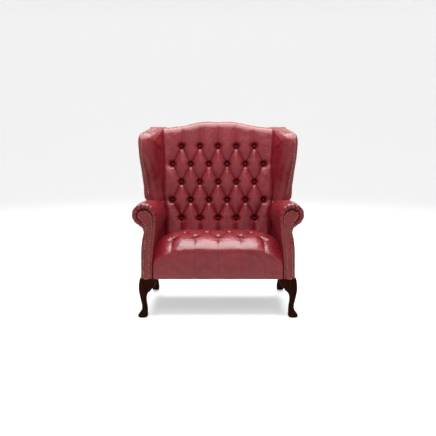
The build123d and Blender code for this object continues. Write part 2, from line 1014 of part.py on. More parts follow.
# Clips: a folded plate on the rail round each end of a spring
clip_width = 24
clip_depth = 14
with BuildPart() as one_clip:
    for y in (spring_start_y, spring_end_y):
        with Locations((0, y, rail_top)):
            Box(
                clip_width,
                clip_depth,
                spring_wire + 2 * clip_plate,
                align=(Align.CENTER, Align.CENTER, Align.MIN),
            )
        with Locations(Location((0, y, spring_z), across)):
            Cylinder(spring_wire / 2 + dowel_slack, 2 * clip_width, mode=Mode.SUBTRACT)
spring_clips = [one_clip.part.moved(Location(spot)) for spot in spring_spots]

# Hessian: the sheet over the springs that carries the seat's padding
hessian_half = 345
with BuildPart() as seat_hessian:
    with Locations((0, rail_front_y, hessian_z)):
        Box(
            2 * hessian_half,
            chair_depth,
            hessian_thick,
            align=(Align.CENTER, Align.MIN, Align.MIN),
        )
    split(bisect_by=back_plane(post_behind - webbing_thick), keep=Keep.TOP)

# Back webbing: strips from the back rail to the crest rail, behind the padding
strap_width = 50
strap_pitch = 92
strap_count = 7
strap_top = crest_rail_low + strap_width / 2
strap_middles = [(n - (strap_count - 1) / 2) * strap_pitch for n in range(strap_count)]
back_webbing = [
    raked_slab(
        panel(x - strap_width / 2, x + strap_width / 2, back_rail_low, strap_top),
        post_behind - webbing_thick,
        post_behind,
    )
    for x in strap_middles
]

# Arm: padding round its frame, leather over the padding, and the outside arm panel
arm_wood = [post_slab, post_head, top_rail_solid.part, back_post_solid, wing_post.part]
with BuildPart() as arm_padding:
    add(arm_inner)
    split(bisect_by=Plane.XY.offset(rail_underside), keep=Keep.TOP)
    add([arm_hollow.part] + arm_wood, mode=Mode.SUBTRACT)
with BuildPart() as arm_shell:
    add(arm_outer)
    add(arm_inner, mode=Mode.SUBTRACT)
with BuildPart() as outside_arm:
    add(arm_shell.part)
    add(outside_arm_zone.part, mode=Mode.INTERSECT)
with BuildPart() as arm_cover:
    add(arm_shell.part)
    add([outside_arm_zone.part, arm_hollow.part, wing_post.part], mode=Mode.SUBTRACT)

# Wing: padding round its frame, a layer over the padding, and the outside wing panel
wing_wood = [wing_post.part, wing_top_rail.part, back_post_solid, crest_rail_solid]
with BuildPart() as wing_padding:
    add(wing_core.part)
    add([wing_hollow.part, arm_tool] + wing_wood, mode=Mode.SUBTRACT)
wing_pad = wing_padding.part.solids().sort_by(SortBy.VOLUME)[-1]
with BuildPart() as wing_shell:
    add(wing_outer)
    add([wing_core.part, wing_hollow.part, arm_tool, back_post_solid], mode=Mode.SUBTRACT)
with BuildPart() as outside_wing:
    add(wing_shell.part)
    add(outside_wing_zone.part, mode=Mode.INTERSECT)
with BuildPart() as wing_cover:
    add(wing_shell.part)
    add(outside_wing_zone.part, mode=Mode.SUBTRACT)

# Outside back: the leather-covered panel that closes the chair's rear
outside_drop = 14
outside_waist_z = roll_z + 2 * leather
outside_shoulder_z = roll_z + roll_radius
outside_foot_half = arm_face_x(outer_in=0)(back_y(rear_behind, rail_underside), rail_underside)
outside_waist_half = arm_face_x(outer_in=0)(back_y(rear_behind, hollow_top), hollow_top)
outside_side = [
    (outside_foot_half, rail_underside),
    (outside_waist_half, hollow_top),
    (outside_waist_half, outside_waist_z),
    (wing_rear_x - 2 * leather, outside_shoulder_z),
    (wing_rear_x - leather, crest_z),
]
outside_crest = crest_outline(outside_drop, wing_rear_x, rail_underside)
with BuildSketch() as outside_face:
    with BuildLine():
        Polyline(
            *outside_side,
            (0, crest_z + crest_half),
            *[(-x, z) for x, z in reversed(outside_side)],
            close=True,
        )
    make_face()
    add(outside_crest, mode=Mode.INTERSECT)
outside_back = raked_slab(outside_face.sketch, rear_behind, back_depth)

# Front leg: square sections that follow the cabriole's knee, ankle and foot. Each has its
# height, how far it reaches out and in from the leg's middle, and how round it is
glide_radius = 13
glide_thick = 2.5
leg_width = 64
front_leg_shares = (
    (1, 0.5, 0.5, 0.3),
    (0.824, 0.594, 0.438, 0.35),
    (0.694, 0.61, 0.33, 0.45),
    (0.59, 0.547, 0.125, 0.55),
    (0.482, 0.47, 0.08, 0.65),
    (0.378, 0.39, 0.11, 0.75),
    (0.27, 0.344, 0.156, 0.85),
    (0.167, 0.406, 0.188, 0.85),
    (0.113, 0.5625, 0.188, 0.85),
    (0.045, 0.734, 0.188, 0.85),
    (0, 0.6875, 0.0625, 0.85),
)
leg_diagonal = front_leg_x + front_leg_y
leg_rise = rail_underside - glide_thick
with BuildPart() as front_leg_solid:
    for height_share, out_share, in_share, round_share in front_leg_shares:
        size = (out_share + in_share) * leg_width
        middle_x = front_leg_x + (out_share - in_share) * leg_width / 2
        with BuildSketch(Plane.XY.offset(glide_thick + height_share * leg_rise)):
            with Locations((middle_x, leg_diagonal - middle_x)):
                RectangleRounded(size, size, round_share * size / 2)
    loft()
front_leg = drilled(front_leg_solid.part)

# Knee blocks: the ears that run from the leg's knee along the rails on both sides
ear_tip_x = 359
ear_tip_height = 8
ear_low_z = 165
ear_low_x = 387
ear_hollow_x = 379
ear_hollow_z = 202
ear_thick = 30
with BuildPart() as ear_sideways:
    with BuildSketch(at_y(front_leg_y - ear_thick / 2)):
        with BuildLine():
            ThreePointArc(
                (ear_tip_x, rail_underside - ear_tip_height),
                (ear_hollow_x, ear_hollow_z),
                (ear_low_x, ear_low_z),
            )
            Polyline(
                (ear_low_x, ear_low_z),
                (front_leg_x, ear_low_z),
                (front_leg_x, rail_underside),
                (ear_tip_x, rail_underside),
                (ear_tip_x, rail_underside - ear_tip_height),
            )
        make_face()
    extrude(amount=-ear_thick)
    add(front_leg_solid.part, mode=Mode.SUBTRACT)
leg_mirror = Plane(origin=(leg_diagonal / 2, leg_diagonal / 2, 0), z_dir=(1, 1, 0))
ear_rearward = mirror(ear_sideways.part, about=leg_mirror)
knee_blocks = both_sides(ear_sideways.part) + both_sides(ear_rearward)

# Rear leg: each section's height, shift sideways and back, width and depth
rear_leg_width = 42
rear_leg_shares = (
    (1, 0, 0, 1, 1.1),
    (0.68, 0.05, 0.31, 0.9, 0.95),
    (0.36, 0.14, 1.26, 0.86, 0.86),
    (0.1, 0.19, 2.38, 1.1, 1.08),
    (0, 0.19, 2.69, 0.95, 0.9),
)
rear_leg_round = 5
with BuildPart() as rear_leg_solid:
    for height_share, x_share, y_share, width_share, depth_share in rear_leg_shares:
        middle = (rear_leg_x + x_share * rear_leg_width, rear_leg_y + y_share * rear_leg_width)
        with BuildSketch(Plane.XY.offset(glide_thick + height_share * leg_rise)):
            with Locations(middle):
                RectangleRounded(
                    width_share * rear_leg_width, depth_share * rear_leg_width, rear_leg_round
                )
    loft()
rear_leg = drilled(rear_leg_solid.part)

# Glides: a disc under each foot, on the floor
front_foot_x = front_leg_x + (front_leg_shares[-1][1] - front_leg_shares[-1][2]) * leg_width / 2
rear_foot_x = rear_leg_x + rear_leg_shares[-1][1] * rear_leg_width
rear_foot_y = rear_leg_y + rear_leg_shares[-1][2] * rear_leg_width
with BuildPart() as glide_pair:
    with Locations(
        (front_foot_x, leg_diagonal - front_foot_x, glide_thick / 2),
        (rear_foot_x, rear_foot_y, glide_thick / 2),
    ):
        Cylinder(glide_radius, glide_thick)
leg_glides = both_sides(glide_pair.part)

# Dust cover: the cloth under the seat's frame, cut round the legs
dust_half = 428
dust_thick = 1.2
with BuildPart() as dust_cover:
    with Locations((0, post_front_y, rail_underside)):
        Box(
            2 * dust_half,
            chair_depth,
            dust_thick,
            align=(Align.CENTER, Align.MIN, Align.MAX),
        )
    split(bisect_by=back_plane(rear_behind), keep=Keep.TOP)
    add(both_sides(front_leg_solid.part) + both_sides(rear_leg_solid.part), mode=Mode.SUBTRACT)
    add(knee_blocks, mode=Mode.SUBTRACT)

# Buttons: leather-covered domes on the floors of the pits
button_edge = 3
button_dome = button_height - button_edge
button_sphere = (button_radius**2 + button_dome**2) / (2 * button_dome)
button_turn = math.asin(button_radius / button_sphere) / 2
with BuildPart() as one_button:
    with BuildSketch(Plane.XZ):
        with BuildLine():
            Polyline((0, button_height), (0, 0), (button_radius, 0), (button_radius, button_edge))
            ThreePointArc(
                (button_radius, button_edge),
                (
                    button_sphere * math.sin(button_turn),
                    button_height - button_sphere * (1 - math.cos(button_turn)),
                ),
                (0, button_height),
            )
        make_face()
    revolve(axis=Axis.Z)
back_buttons = []
for row in range(len(back_row_counts)):
    for x, z in back_row(row):
        origin = back_spot(x, z) - back_plane(0).z_dir * back_pit_depth
        place = Plane(origin=origin, x_dir=(1, 0, 0), z_dir=back_plane(0).z_dir)
        back_buttons.append(one_button.part.moved(place.location))
seat_buttons = []
for row in range(len(seat_row_counts)):
    for spot in seat_row(row):
        place = Plane(origin=spot - Vector(0, 0, seat_pit_depth), z_dir=(0, 0, 1))
        seat_buttons.append(one_button.part.moved(place.location))

# Nails: domed brass heads, set close along an edge
nail_radius = 5.5
nail_height = 3.2
nail_pitch = 11.2
nail_lift = 0.3
nail_sphere = (nail_radius**2 + nail_height**2) / (2 * nail_height)
nail_turn = math.asin(nail_radius / nail_sphere) / 2
with BuildPart() as one_nail:
    with BuildSketch(Plane.XZ):
        with BuildLine():
            Polyline((0, nail_height), (0, 0), (nail_radius, 0))
            ThreePointArc(
                (nail_radius, 0),
                (
                    nail_sphere * math.sin(nail_turn),
                    nail_height - nail_sphere * (1 - math.cos(nail_turn)),
                ),
                (0, nail_height),
            )
        make_face()
    revolve(axis=Axis.Z)


def nail_row(edge, face_along, low_z):
    """Nails along an edge of a face that also runs along a direction."""
    count = math.floor(edge.length / nail_pitch)
    nails = []
    for place in range(count):
        share = (place + 1 / 2) / count
        out = face_along.cross(edge % share).normalized()
        origin = edge @ share + out * nail_lift
        if origin.Z > low_z:
            nails.append(one_nail.part.moved(Plane(origin=origin, z_dir=out).location))
    return nails


# Arm front: a padded leather panel with a ring of nails. Its outline is two leaning
# sides and a head, which is given as shares of the roll's radius from the roll's middle
facing_thick = 9
facing_edge = 3
facing_nail_in = 6.5
facing_foot_xs = (384.5, 428.5)
facing_head_shares = (
    (-0.749, -0.554),
    (-0.712, -0.085),
    (-0.446, 0.295),
    (0, 0.454),
    (0.4, 0.342),
    (0.562, -0.035),
    (0.372, -0.414),
    (0.137, -0.697),
    (-0.04, -1.055),
)
facing_head = [
    (roll_x + x * roll_radius, roll_z + z * roll_radius) for x, z in facing_head_shares
]
facing_feet = [(x, rail_underside) for x in facing_foot_xs]
with BuildPart() as arm_facing:
    with BuildSketch(at_y(arm_front_y)):
        with BuildLine():
            inner_side = Line(facing_feet[0], facing_head[0])
            outer_side = Line(facing_head[-1], facing_feet[1])
            head_curve = Spline(*facing_head, tangents=(inner_side % 1, outer_side % 0))
            foot_line = Line(facing_feet[1], facing_feet[0])
        make_face()
    extrude(amount=facing_thick)
    fillet(arm_facing.faces().sort_by(Axis.Y)[0].edges(), facing_edge)

# The ring runs inside the outline, and a nail stands wherever there is room for the next
ring_spots = []
for edge in (inner_side, head_curve, outer_side, foot_line):
    steps = math.ceil(edge.length / nail_lift)
    for step in range(steps):
        run = edge % (step / steps)
        spot = edge @ (step / steps) + Vector(run.Y, -run.X) * facing_nail_in
        if spot.Y > rail_underside + facing_nail_in - nail_lift:
            room = [(spot - other).length > nail_pitch for other in ring_spots]
            if all(room):
                ring_spots.append(spot)
arm_facing_nails = []
for spot in ring_spots:
    origin = (spot.X, arm_front_y - facing_thick, spot.Y)
    nail_place = Plane(origin=origin, z_dir=(0, -1, 0))
    arm_facing_nails.append(one_nail.part.moved(nail_place.location))

# Wing nails follow the wing's front and top, and back nails follow the crest's rear edge
wing_nails = []
wing_nail_low_z = roll_z + 0.8 * roll_radius
nail_plane = wing_outer_plane.offset(-wing_nail_in)
for edge in wing_edges(nail_plane):
    placed = nail_plane.from_local_coords(edge)
    wing_nails += nail_row(placed, Vector(1, 0, 0), wing_nail_low_z)

crest_nail_in = 9
crest_spots_on_top = [
    (x, back_y(rear_behind - crest_nail_in, z), z) for x, z in crest_spots(0)[1:-1]
]
crest_line = Spline(*crest_spots_on_top)
crest_nails_hidden = 2
crest_row = nail_row(crest_line, Vector(0, -1, 0), crest_z - crest_rise)
back_nails = crest_row[crest_nails_hidden:-crest_nails_hidden]

pairs = {
    "arm_cover": arm_cover.part,
    "arm_padding": arm_padding.part,
    "outside_arm": outside_arm.part,
    "arm_post": arm_post,
    "arm_top_rail": arm_top_rail,
    "arm_tack_rail": arm_tack_rail.part,
    "arm_facing": arm_facing.part,
    "arm_facing_nails": arm_facing_nails,
    "wing_cover": wing_cover.part,
    "wing_padding": wing_pad,
    "outside_wing": outside_wing.part,
    "wing_post": wing_post.part,
    "wing_top_rail": wing_top_rail.part,
    "wing_nails": wing_nails,
    "back_post": back_post,
    "side_seat_rail": side_seat_rail,
    "front_leg": front_leg,
    "rear_leg": rear_leg,
}
singles = {
    "seat_cover": seat_cover,
    "seat_padding": seat_padding,
    "back_cover": back_cover,
    "back_padding": back_padding,
    "front_seat_rail": front_seat_rail,
    "rear_seat_rail": rear_seat_rail,
    "crest_rail": crest_rail,
    "back_tack_rail": back_tack_rail,
    "seat_corner_blocks": seat_corner_blocks,
    "frame_dowels": frame_dowels,
    "seat_springs": seat_springs,
    "spring_clips": spring_clips,
    "seat_hessian": seat_hessian.part,
    "back_webbing": back_webbing,
    "outside_back": outside_back,
    "dust_cover": dust_cover.part,
    "back_buttons": back_buttons,
    "seat_buttons": seat_buttons,
    "back_nails": back_nails,
    "knee_blocks": knee_blocks,
    "leg_bolts": leg_bolts,
    "leg_glides": leg_glides,
}


def grouped(solids):
    """One part that holds a piece's solid, or all the solids of a group."""
    if not isinstance(solids, list):
        return solids
    return Part(Compound(children=sum((list(solid.solids()) for solid in solids), [])).wrapped)


def hand_in(label, solids):
    piece = grouped(solids)
    piece.label = label
    export_step(piece, f"parts/{label}.step")


for label, solids in singles.items():
    hand_in(label, solids)
for label, solids in pairs.items():
    left = grouped(solids)
    hand_in(label + "_left", left)
    hand_in(label + "_right", mirror(left, about=Plane.YZ))
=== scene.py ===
import json
import math

import bmesh
import bpy
import numpy as np
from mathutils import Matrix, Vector, noise


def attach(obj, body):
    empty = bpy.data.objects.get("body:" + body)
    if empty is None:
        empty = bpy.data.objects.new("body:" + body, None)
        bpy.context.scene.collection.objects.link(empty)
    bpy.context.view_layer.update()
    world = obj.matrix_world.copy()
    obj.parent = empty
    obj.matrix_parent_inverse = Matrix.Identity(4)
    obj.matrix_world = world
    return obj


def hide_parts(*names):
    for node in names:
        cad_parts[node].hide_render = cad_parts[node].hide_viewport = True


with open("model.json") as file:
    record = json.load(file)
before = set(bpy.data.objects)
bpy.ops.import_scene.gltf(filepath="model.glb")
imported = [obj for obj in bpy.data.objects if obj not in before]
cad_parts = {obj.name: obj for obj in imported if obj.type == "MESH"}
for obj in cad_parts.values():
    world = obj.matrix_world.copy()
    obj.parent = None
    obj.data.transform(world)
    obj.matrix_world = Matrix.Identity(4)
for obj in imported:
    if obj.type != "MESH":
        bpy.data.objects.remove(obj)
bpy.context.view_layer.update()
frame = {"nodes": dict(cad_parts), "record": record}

# Inside back: one oxblood hide over wadding, drawn down by buttons into deep diamonds,
# pleated over the crest and tacked along the rear edge and behind the seat. Its folds and
# pits are depths below a smooth form, worked out on the unrolled leather, in mm.
MM = 0.001
LEAN = math.radians(12)
RAKE = math.tan(LEAN)
BACK_Y, BACK_Z = 135, 420
BACK_HALF, BACK_FOOT_Z = 394, 352
REAR_BEHIND = 123
CREST_X = [0, 121, 173, 237, 307, 371, 445]
CREST_Z = [1086, 1082.5, 1070, 1058.5, 1050, 1047, 1047]
CREST_ROUND, REAR_ROUND = 42, 9
CREST_TURN = math.pi / 2 - LEAN
JOINT_Z = [400, 545, 606, 668, 854, 1041, 1100]
JOINT_X = [329, 330, 336, 340, 350, 363, 366]
BUTTON_PITCH, BUTTON_ROW, BUTTON_TOP = 115, 111.5, 942
BUTTON_COUNTS = (5, 6, 5, 6, 5)
BUTTON_SEAT = 10.6
PLEAT_OVER, PLEAT_DOWN, PLEAT_OUT, JOINT_TUCK, REAR_LIP = 320, 60, 420, 12, 12
BACK_COLUMNS = 213
FRONT_ROWS, ARC_ROWS, TOP_ROWS, REAR_ROWS = 192, 14, 20, 6


def smooth(low, high, value):
    share = np.clip((value - low) / (high - low), 0, 1)
    return share * share * (3 - 2 * share)


def through(xs, ys, x):
    """A smooth curve through places, level beyond its ends."""
    xs = np.asarray(xs, float)
    ys = np.asarray(ys, float)
    slopes = np.gradient(ys, xs)
    x = np.clip(np.asarray(x, float), xs[0], xs[-1])
    k = np.clip(np.searchsorted(xs, x, side="right") - 1, 0, len(xs) - 2)
    step = xs[k + 1] - xs[k]
    t = (x - xs[k]) / step
    return (
        (2 * t**3 - 3 * t**2 + 1) * ys[k]
        + (t**3 - 2 * t**2 + t) * step * slopes[k]
        + (3 * t**2 - 2 * t**3) * ys[k + 1]
        + (t**3 - t**2) * step * slopes[k + 1]
    )


def back_y(behind, z):
    return BACK_Y + behind + RAKE * (z - BACK_Z)


def up_slope(z):
    return (z - BACK_Z) / math.cos(LEAN)


def spread_out(count, pitch):
    """Middles of a row of things at one pitch, about the chair's centre."""
    return [(n - (count - 1) / 2) * pitch for n in range(count)]


def fold_depth(x, v, lines, radius, half):
    """How deep the folds press at each place, and how near the nearest one is."""
    depth = np.zeros_like(x)
    nearest = np.full_like(x, 1e3)
    for (ax, av), (bx, bv), share in lines:
        dx, dv = bx - ax, bv - av
        t = np.clip(((x - ax) * dx + (v - av) * dv) / (dx * dx + dv * dv), 0, 1)
        d = np.hypot(x - ax - t * dx, v - av - t * dv)
        inner = np.clip(half - d, 0, None)
        press = (radius - np.sqrt(radius**2 - inner**2)) * share
        depth = np.maximum(depth, press)
        nearest = np.minimum(nearest, d + (1 - share) * 12)
    return depth, nearest


def pit_depth(x, v, spots, floor, half):
    """How deep the buttons press, how near one is, and the small wrinkles that leave it."""
    depth = np.zeros_like(x)
    wrinkle = np.zeros_like(x)
    nearest = np.full_like(x, 1e3)
    for number, (bx, bv) in enumerate(spots):
        d = np.hypot(x - bx, v - bv)
        turn = np.arctan2(v - bv, x - bx)
        share = np.clip((half - np.maximum(d, BUTTON_SEAT)) / (half - BUTTON_SEAT), 0, 1)
        depth = np.maximum(depth, floor * share**2.1)
        nearest = np.minimum(nearest, d)
        rays = np.cos(9 * turn + number * 1.7) + 0.6 * np.cos(14 * turn + number * 2.9)
        wrinkle += rays * np.exp(-(((d - 21) / 9) ** 2))
    return depth, nearest, 0.7 * wrinkle * smooth(9, 14, nearest)


def lumps(points, size, height):
    """A slow unevenness of stuffed leather, the same on every run."""
    made = [noise.noise(Vector(place) / size) for place in points.reshape(-1, 3)]
    return height * np.array(made).reshape(points.shape[:2])


def put_in(name, bm):
    """Makes an object of a finished bmesh."""
    mesh = bpy.data.meshes.new(name)
    bm.to_mesh(mesh)
    bm.free()
    made = bpy.data.objects.new(name, mesh)
    bpy.context.scene.collection.objects.link(made)
    return made


def fill_holes(bm):
    bmesh.ops.holes_fill(bm, edges=[e for e in bm.edges if e.is_boundary], sides=0)


def skin(name, points, painted_shade=None, skirt=None, ring=False, capped=True):
    """A smooth grid of faces from rows of points, with an amount of painted shade kept on each
    point.
    """
    bm = bmesh.new()
    shade_layer = bm.verts.layers.float.new("painted_shade")
    painted_shade = np.zeros(points.shape[:2]) if painted_shade is None else painted_shade
    rows = []
    for row, shade_marks in zip(points * MM, painted_shade):
        line = []
        for place, value in zip(row, shade_marks):
            vert = bm.verts.new(place)
            vert[shade_layer] = value
            line.append(vert)
        rows.append(line)
    for low, high in zip(rows, rows[1:]):
        for k in range(len(low) if ring else len(low) - 1):
            n = (k + 1) % len(low)
            bm.faces.new((low[k], low[n], high[n], high[k]))
    if skirt is not None:
        edges = [e for e in bm.edges if e.is_boundary]
        made = bmesh.ops.extrude_edge_only(bm, edges=edges)["geom"]
        new = [g for g in made if isinstance(g, bmesh.types.BMVert)]
        bmesh.ops.translate(bm, verts=new, vec=Vector(skirt) * MM)
    elif ring and capped:
        fill_holes(bm)
    bmesh.ops.recalc_face_normals(bm, faces=bm.faces)
    for face in bm.faces:
        face.smooth = len(face.verts) < 5
    return put_in(name, bm)


def settle(piece, finish, slot, *nodes, fill=None):
    """Finishes a piece and rides it on the chair, in place of the CAD nodes it names."""
    piece.data.materials.append(finish)
    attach(piece, "root")
    if nodes:
        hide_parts(*nodes)


def material(name):
    made = bpy.data.materials.new(name)
    made.use_nodes = True
    tree = made.node_tree
    return made, tree, tree.nodes["Principled BSDF"]


def node(tree, kind, **values):
    made = tree.nodes.new(kind)
    for key, value in values.items():
        if hasattr(made, key):
            setattr(made, key, value)
        else:
            made.inputs[key.replace("_", " ")].default_value = value
    return made


def in_place(tree):
    return node(tree, "ShaderNodeTexCoord").outputs["Object"]


def cloudy(tree, place, scale, detail, rough, **more):
    """An even cloudiness over the piece."""
    made = node(
        tree, "ShaderNodeTexNoise", Scale=scale, Detail=detail, Roughness=rough, **more
    )
    tree.links.new(place, made.inputs["Vector"])
    return made.outputs["Fac"]


def shades(tree, source, low, dark, high, light):
    """Colours from dark to light, by a source."""
    made = node(tree, "ShaderNodeValToRGB")
    first, last = made.color_ramp.elements
    first.position, last.position = low, high
    first.color, last.color = (*dark, 1), (*light, 1)
    tree.links.new(source, made.inputs["Fac"])
    return made.outputs["Color"]


def spread(tree, source, low, high, to_low, to_high):
    made = node(
        tree, "ShaderNodeMapRange",
        From_Min=low, From_Max=high, To_Min=to_low, To_Max=to_high,
    )
    tree.links.new(source, made.inputs["Value"])
    return made.outputs["Result"]


def blended(tree, share, under, over):
    """A colour laid over another by a share."""
    made = node(tree, "ShaderNodeMix", data_type="RGBA")
    made.inputs[7].default_value = (*over, 1)
    tree.links.new(share, made.inputs[0])
    tree.links.new(under, made.inputs[6])
    return made.outputs[2]


def relief(tree, height, strength, distance, under=None):
    made = node(tree, "ShaderNodeBump", Strength=strength, Distance=distance)
    tree.links.new(height, made.inputs["Height"])
    if under is not None:
        tree.links.new(under, made.inputs["Normal"])
    return made.outputs["Normal"]


def leather_material(name, dark, middle, light, rough, gloss):
    """Mottled hide, rubbed lighter in spots, with grain. Where its points carry painted shade, in
    creases, pits and seams, it is painted darker and loses its gloss.
    """
    made, tree, shader = material(name)
    link = tree.links.new
    place = in_place(tree)
    hide = shades(tree, cloudy(tree, place, 9.0, 5.0, 0.6), 0.3, dark, 0.72, middle)
    rub = spread(tree, cloudy(tree, place, 38.0, 6.0, 0.7), 0.52, 0.75, 0.0, 0.5)
    rubbed = blended(tree, rub, hide, light)
    # Painted shade: where the skin's points carry a shade amount, the colour goes towards a
    # near-black copy of the dark tone and the gloss goes away.
    painted_shade = node(tree, "ShaderNodeAttribute", attribute_name="painted_shade").outputs["Fac"]
    painted_shade_colour = (dark[0] * 0.22, dark[1] * 0.18, dark[2] * 0.18)
    shade = spread(tree, painted_shade, 0.15, 1.0, 0.0, 0.82)
    link(blended(tree, shade, rubbed, painted_shade_colour), shader.inputs["Base Color"])
    grain = node(tree, "ShaderNodeTexVoronoi", Scale=420.0)
    link(place, grain.inputs["Vector"])
    wrinkles = cloudy(tree, place, 95.0, 4.0, 0.65)
    waves = cloudy(tree, place, 26.0, 3.0, 0.5)
    face = relief(tree, grain.outputs["Distance"], 0.22, 0.0004)
    face = relief(tree, wrinkles, 0.2, 0.001, face)
    face = relief(tree, waves, 0.2, 0.003, face)
    link(face, shader.inputs["Normal"])
    link(spread(tree, wrinkles, 0.3, 0.7, rough - 0.06, rough + 0.08), shader.inputs["Roughness"])
    link(spread(tree, painted_shade, 0.1, 0.9, gloss, 0.0), shader.inputs["Specular IOR Level"])
    return made


def back_form():
    """Places, unrolled coordinates and outward directions of the smooth form."""
    x = np.linspace(-1, 1, BACK_COLUMNS) * BACK_HALF
    crest = through(CREST_X, CREST_Z, np.abs(x))
    top_z = crest - CREST_ROUND + CREST_ROUND * math.sin(LEAN)
    rise = up_slope(top_z) - foot_v
    arc = CREST_ROUND * CREST_TURN
    flat = REAR_BEHIND + RAKE * CREST_ROUND - CREST_ROUND / math.cos(LEAN) - REAR_ROUND
    place, unrolled, out = [], [], []

    def add(y, z, run, way):
        place.append(np.stack(np.broadcast_arrays(x, y, z), 1))
        unrolled.append(run + 0 * x)
        out.append(np.tile([0, *way], (len(x), 1)))

    for k in range(FRONT_ROWS):
        s = foot_v + rise * k / FRONT_ROWS
        y, z = BACK_Y + s * math.sin(LEAN), BACK_Z + s * math.cos(LEAN)
        add(y, z, s, (-math.cos(LEAN), math.sin(LEAN)))
    middle_z = crest - CREST_ROUND
    middle_y = BACK_Y + RAKE * (middle_z - BACK_Z) + CREST_ROUND / math.cos(LEAN)
    for k in range(ARC_ROWS):
        a = LEAN + CREST_TURN * k / ARC_ROWS
        way = (-math.cos(a), math.sin(a))
        y, z = middle_y + way[0] * CREST_ROUND, middle_z + way[1] * CREST_ROUND
        add(y, z, foot_v + rise + arc * k / ARC_ROWS, way)
    over = foot_v + rise + arc
    for k in range(TOP_ROWS + 1):
        add(middle_y + flat * k / TOP_ROWS, crest, over + flat * k / TOP_ROWS, (0, 1))
    for k in range(1, REAR_ROWS + 1):
        a = math.pi / 2 * k / REAR_ROWS
        way = (math.sin(a), math.cos(a))
        y = middle_y + flat + way[0] * REAR_ROUND
        z = crest - REAR_ROUND + way[1] * REAR_ROUND
        add(y, z, over + flat + REAR_ROUND * a, way)
    place.append(place[-1] + [0, -2, -REAR_LIP])
    unrolled.append(unrolled[-1] + REAR_LIP)
    out.append(out[-1])
    return np.array(place), np.tile(x, (len(place), 1)), np.array(unrolled), np.array(out)


foot_v = up_slope(BACK_FOOT_Z)
back_rows = [
    [(x, up_slope(BUTTON_TOP - row * BUTTON_ROW)) for x in spread_out(count, BUTTON_PITCH)]
    for row, count in enumerate(BUTTON_COUNTS)
]
back_spots = sum(back_rows, [])
lines = [
    (a, b, 1)
    for row, below in zip(back_rows, back_rows[1:])
    for a in row
    for b in below
    if abs(a[0] - b[0]) < BUTTON_PITCH * 0.6
]
lines += [(a, (a[0], a[1] + PLEAT_OVER), 0.86) for a in back_rows[0]]
lines += [(a, (a[0], foot_v - PLEAT_DOWN), 1) for a in back_rows[-1]]
for row in back_rows[1::2]:
    lines += [(a, (math.copysign(PLEAT_OUT, a[0]), a[1] - 4), 0.15) for a in (row[0], row[-1])]

place, flat_x, flat_v, out = back_form()
crest_v = flat_v - (up_slope(through(CREST_X, CREST_Z, np.abs(flat_x[0]))) - 10)
fold, fold_near = fold_depth(flat_x, flat_v, lines, radius=62, half=32)
pit, pit_near, wrinkle = pit_depth(flat_x, flat_v, back_spots, floor=25, half=38)
fold *= 0.85 + 0.6 * np.exp(-((pit_near / 26) ** 2))
fade = 1 - 0.72 * smooth(-130, -20, crest_v) - 0.25 * smooth(-10, 60, crest_v)
depth = np.cbrt((fold * fade) ** 3 + pit**3)
past_joint = np.abs(flat_x) - through(JOINT_Z, JOINT_X, place[..., 2])
tuck = JOINT_TUCK * smooth(-24, 4, past_joint)
seam = 2.6 * np.exp(-((fold_near / 2.6) ** 2)) * (0.35 + 0.65 * fade) * smooth(9, 16, pit_near)
puff = 6 * smooth(0, 50, fold_near) * smooth(10, 56, pit_near)
puff *= 1 - 0.8 * smooth(-40, 40, crest_v)
lift = puff - depth - seam - tuck + wrinkle
lift += lumps(place, size=38, height=1.3) + lumps(place, size=13, height=0.5)
# Painted shade: darker, duller leather along the folds, round each button pit and in the tuck at
# the wing joint, where shade falls.
painted_shade = 0.75 * np.exp(-((fold_near / 4) ** 2)) * (0.5 + 0.5 * fade)
painted_shade += np.exp(-((np.clip(pit_near - 10, 0, None) / 7) ** 2))
painted_shade = np.clip(painted_shade + np.exp(-(((past_joint - 3) / 6) ** 2)), 0, 1)
back_points = place + out * lift[..., None]
rear_y = back_y(REAR_BEHIND, back_points[..., 2])
back_points[..., 1] = np.minimum(back_points[..., 1], rear_y)
leather = leather_material(
    "oxblood_leather", dark=(0.100, 0.0045, 0.008), middle=(0.138, 0.007, 0.012),
    light=(0.165, 0.012, 0.018), rough=0.28, gloss=0.32,
)
inside_back = skin("inside_back", back_points, painted_shade, skirt=(0, -10, -10))
settle(inside_back, leather, "leather", "back_cover", "back_padding", fill=0.85)

# Back buttons: domed moulds covered in the same hide, each pulled to the floor of its pit by a
# twine that goes through the padding. Their leather is a darker, duller copy of the hide, which
# paints on them the shade of the pits they sit in.
BUTTON = {"radius": 10, "height": 7, "sides": 20, "rings": 6}
SUNK, ROOT_SHARE = 1.5, 0.96


def across_normals(points):
    du = np.gradient(points, axis=1)
    dv = np.gradient(points, axis=0)
    normal = np.cross(du, dv)
    return normal / np.maximum(np.linalg.norm(normal, axis=2, keepdims=True), 1e-9)


def domes(name, places, ways, radius, height, sides, rings):
    """Domed heads at places, each facing its own way, in one mesh."""
    bm = bmesh.new()
    turns = np.linspace(0, 2 * math.pi, sides, endpoint=False)
    for place, way in zip(places, ways):
        way = Vector(way).normalized()
        side = way.orthogonal().normalized()
        over = way.cross(side)
        round_it = [side * math.cos(t) + over * math.sin(t) for t in turns]
        centre = Vector(place)
        root = centre - way * SUNK
        low = [bm.verts.new((root + s * radius * ROOT_SHARE) * MM) for s in round_it]
        for k in range(rings):
            a = k / rings * math.pi / 2
            middle = centre + way * height * math.sin(a)
            high = [bm.verts.new((middle + s * radius * math.cos(a)) * MM) for s in round_it]
            for n in range(sides):
                m = (n + 1) % sides
                bm.faces.new((low[n], low[m], high[m], high[n]))
            low = high
        tip = bm.verts.new((centre + way * height) * MM)
        for n in range(sides):
            bm.faces.new((low[n], low[(n + 1) % sides], tip))
    for face in bm.faces:
        face.smooth = True
    fill_holes(bm)
    bmesh.ops.recalc_face_normals(bm, faces=bm.faces)
    return put_in(name, bm)


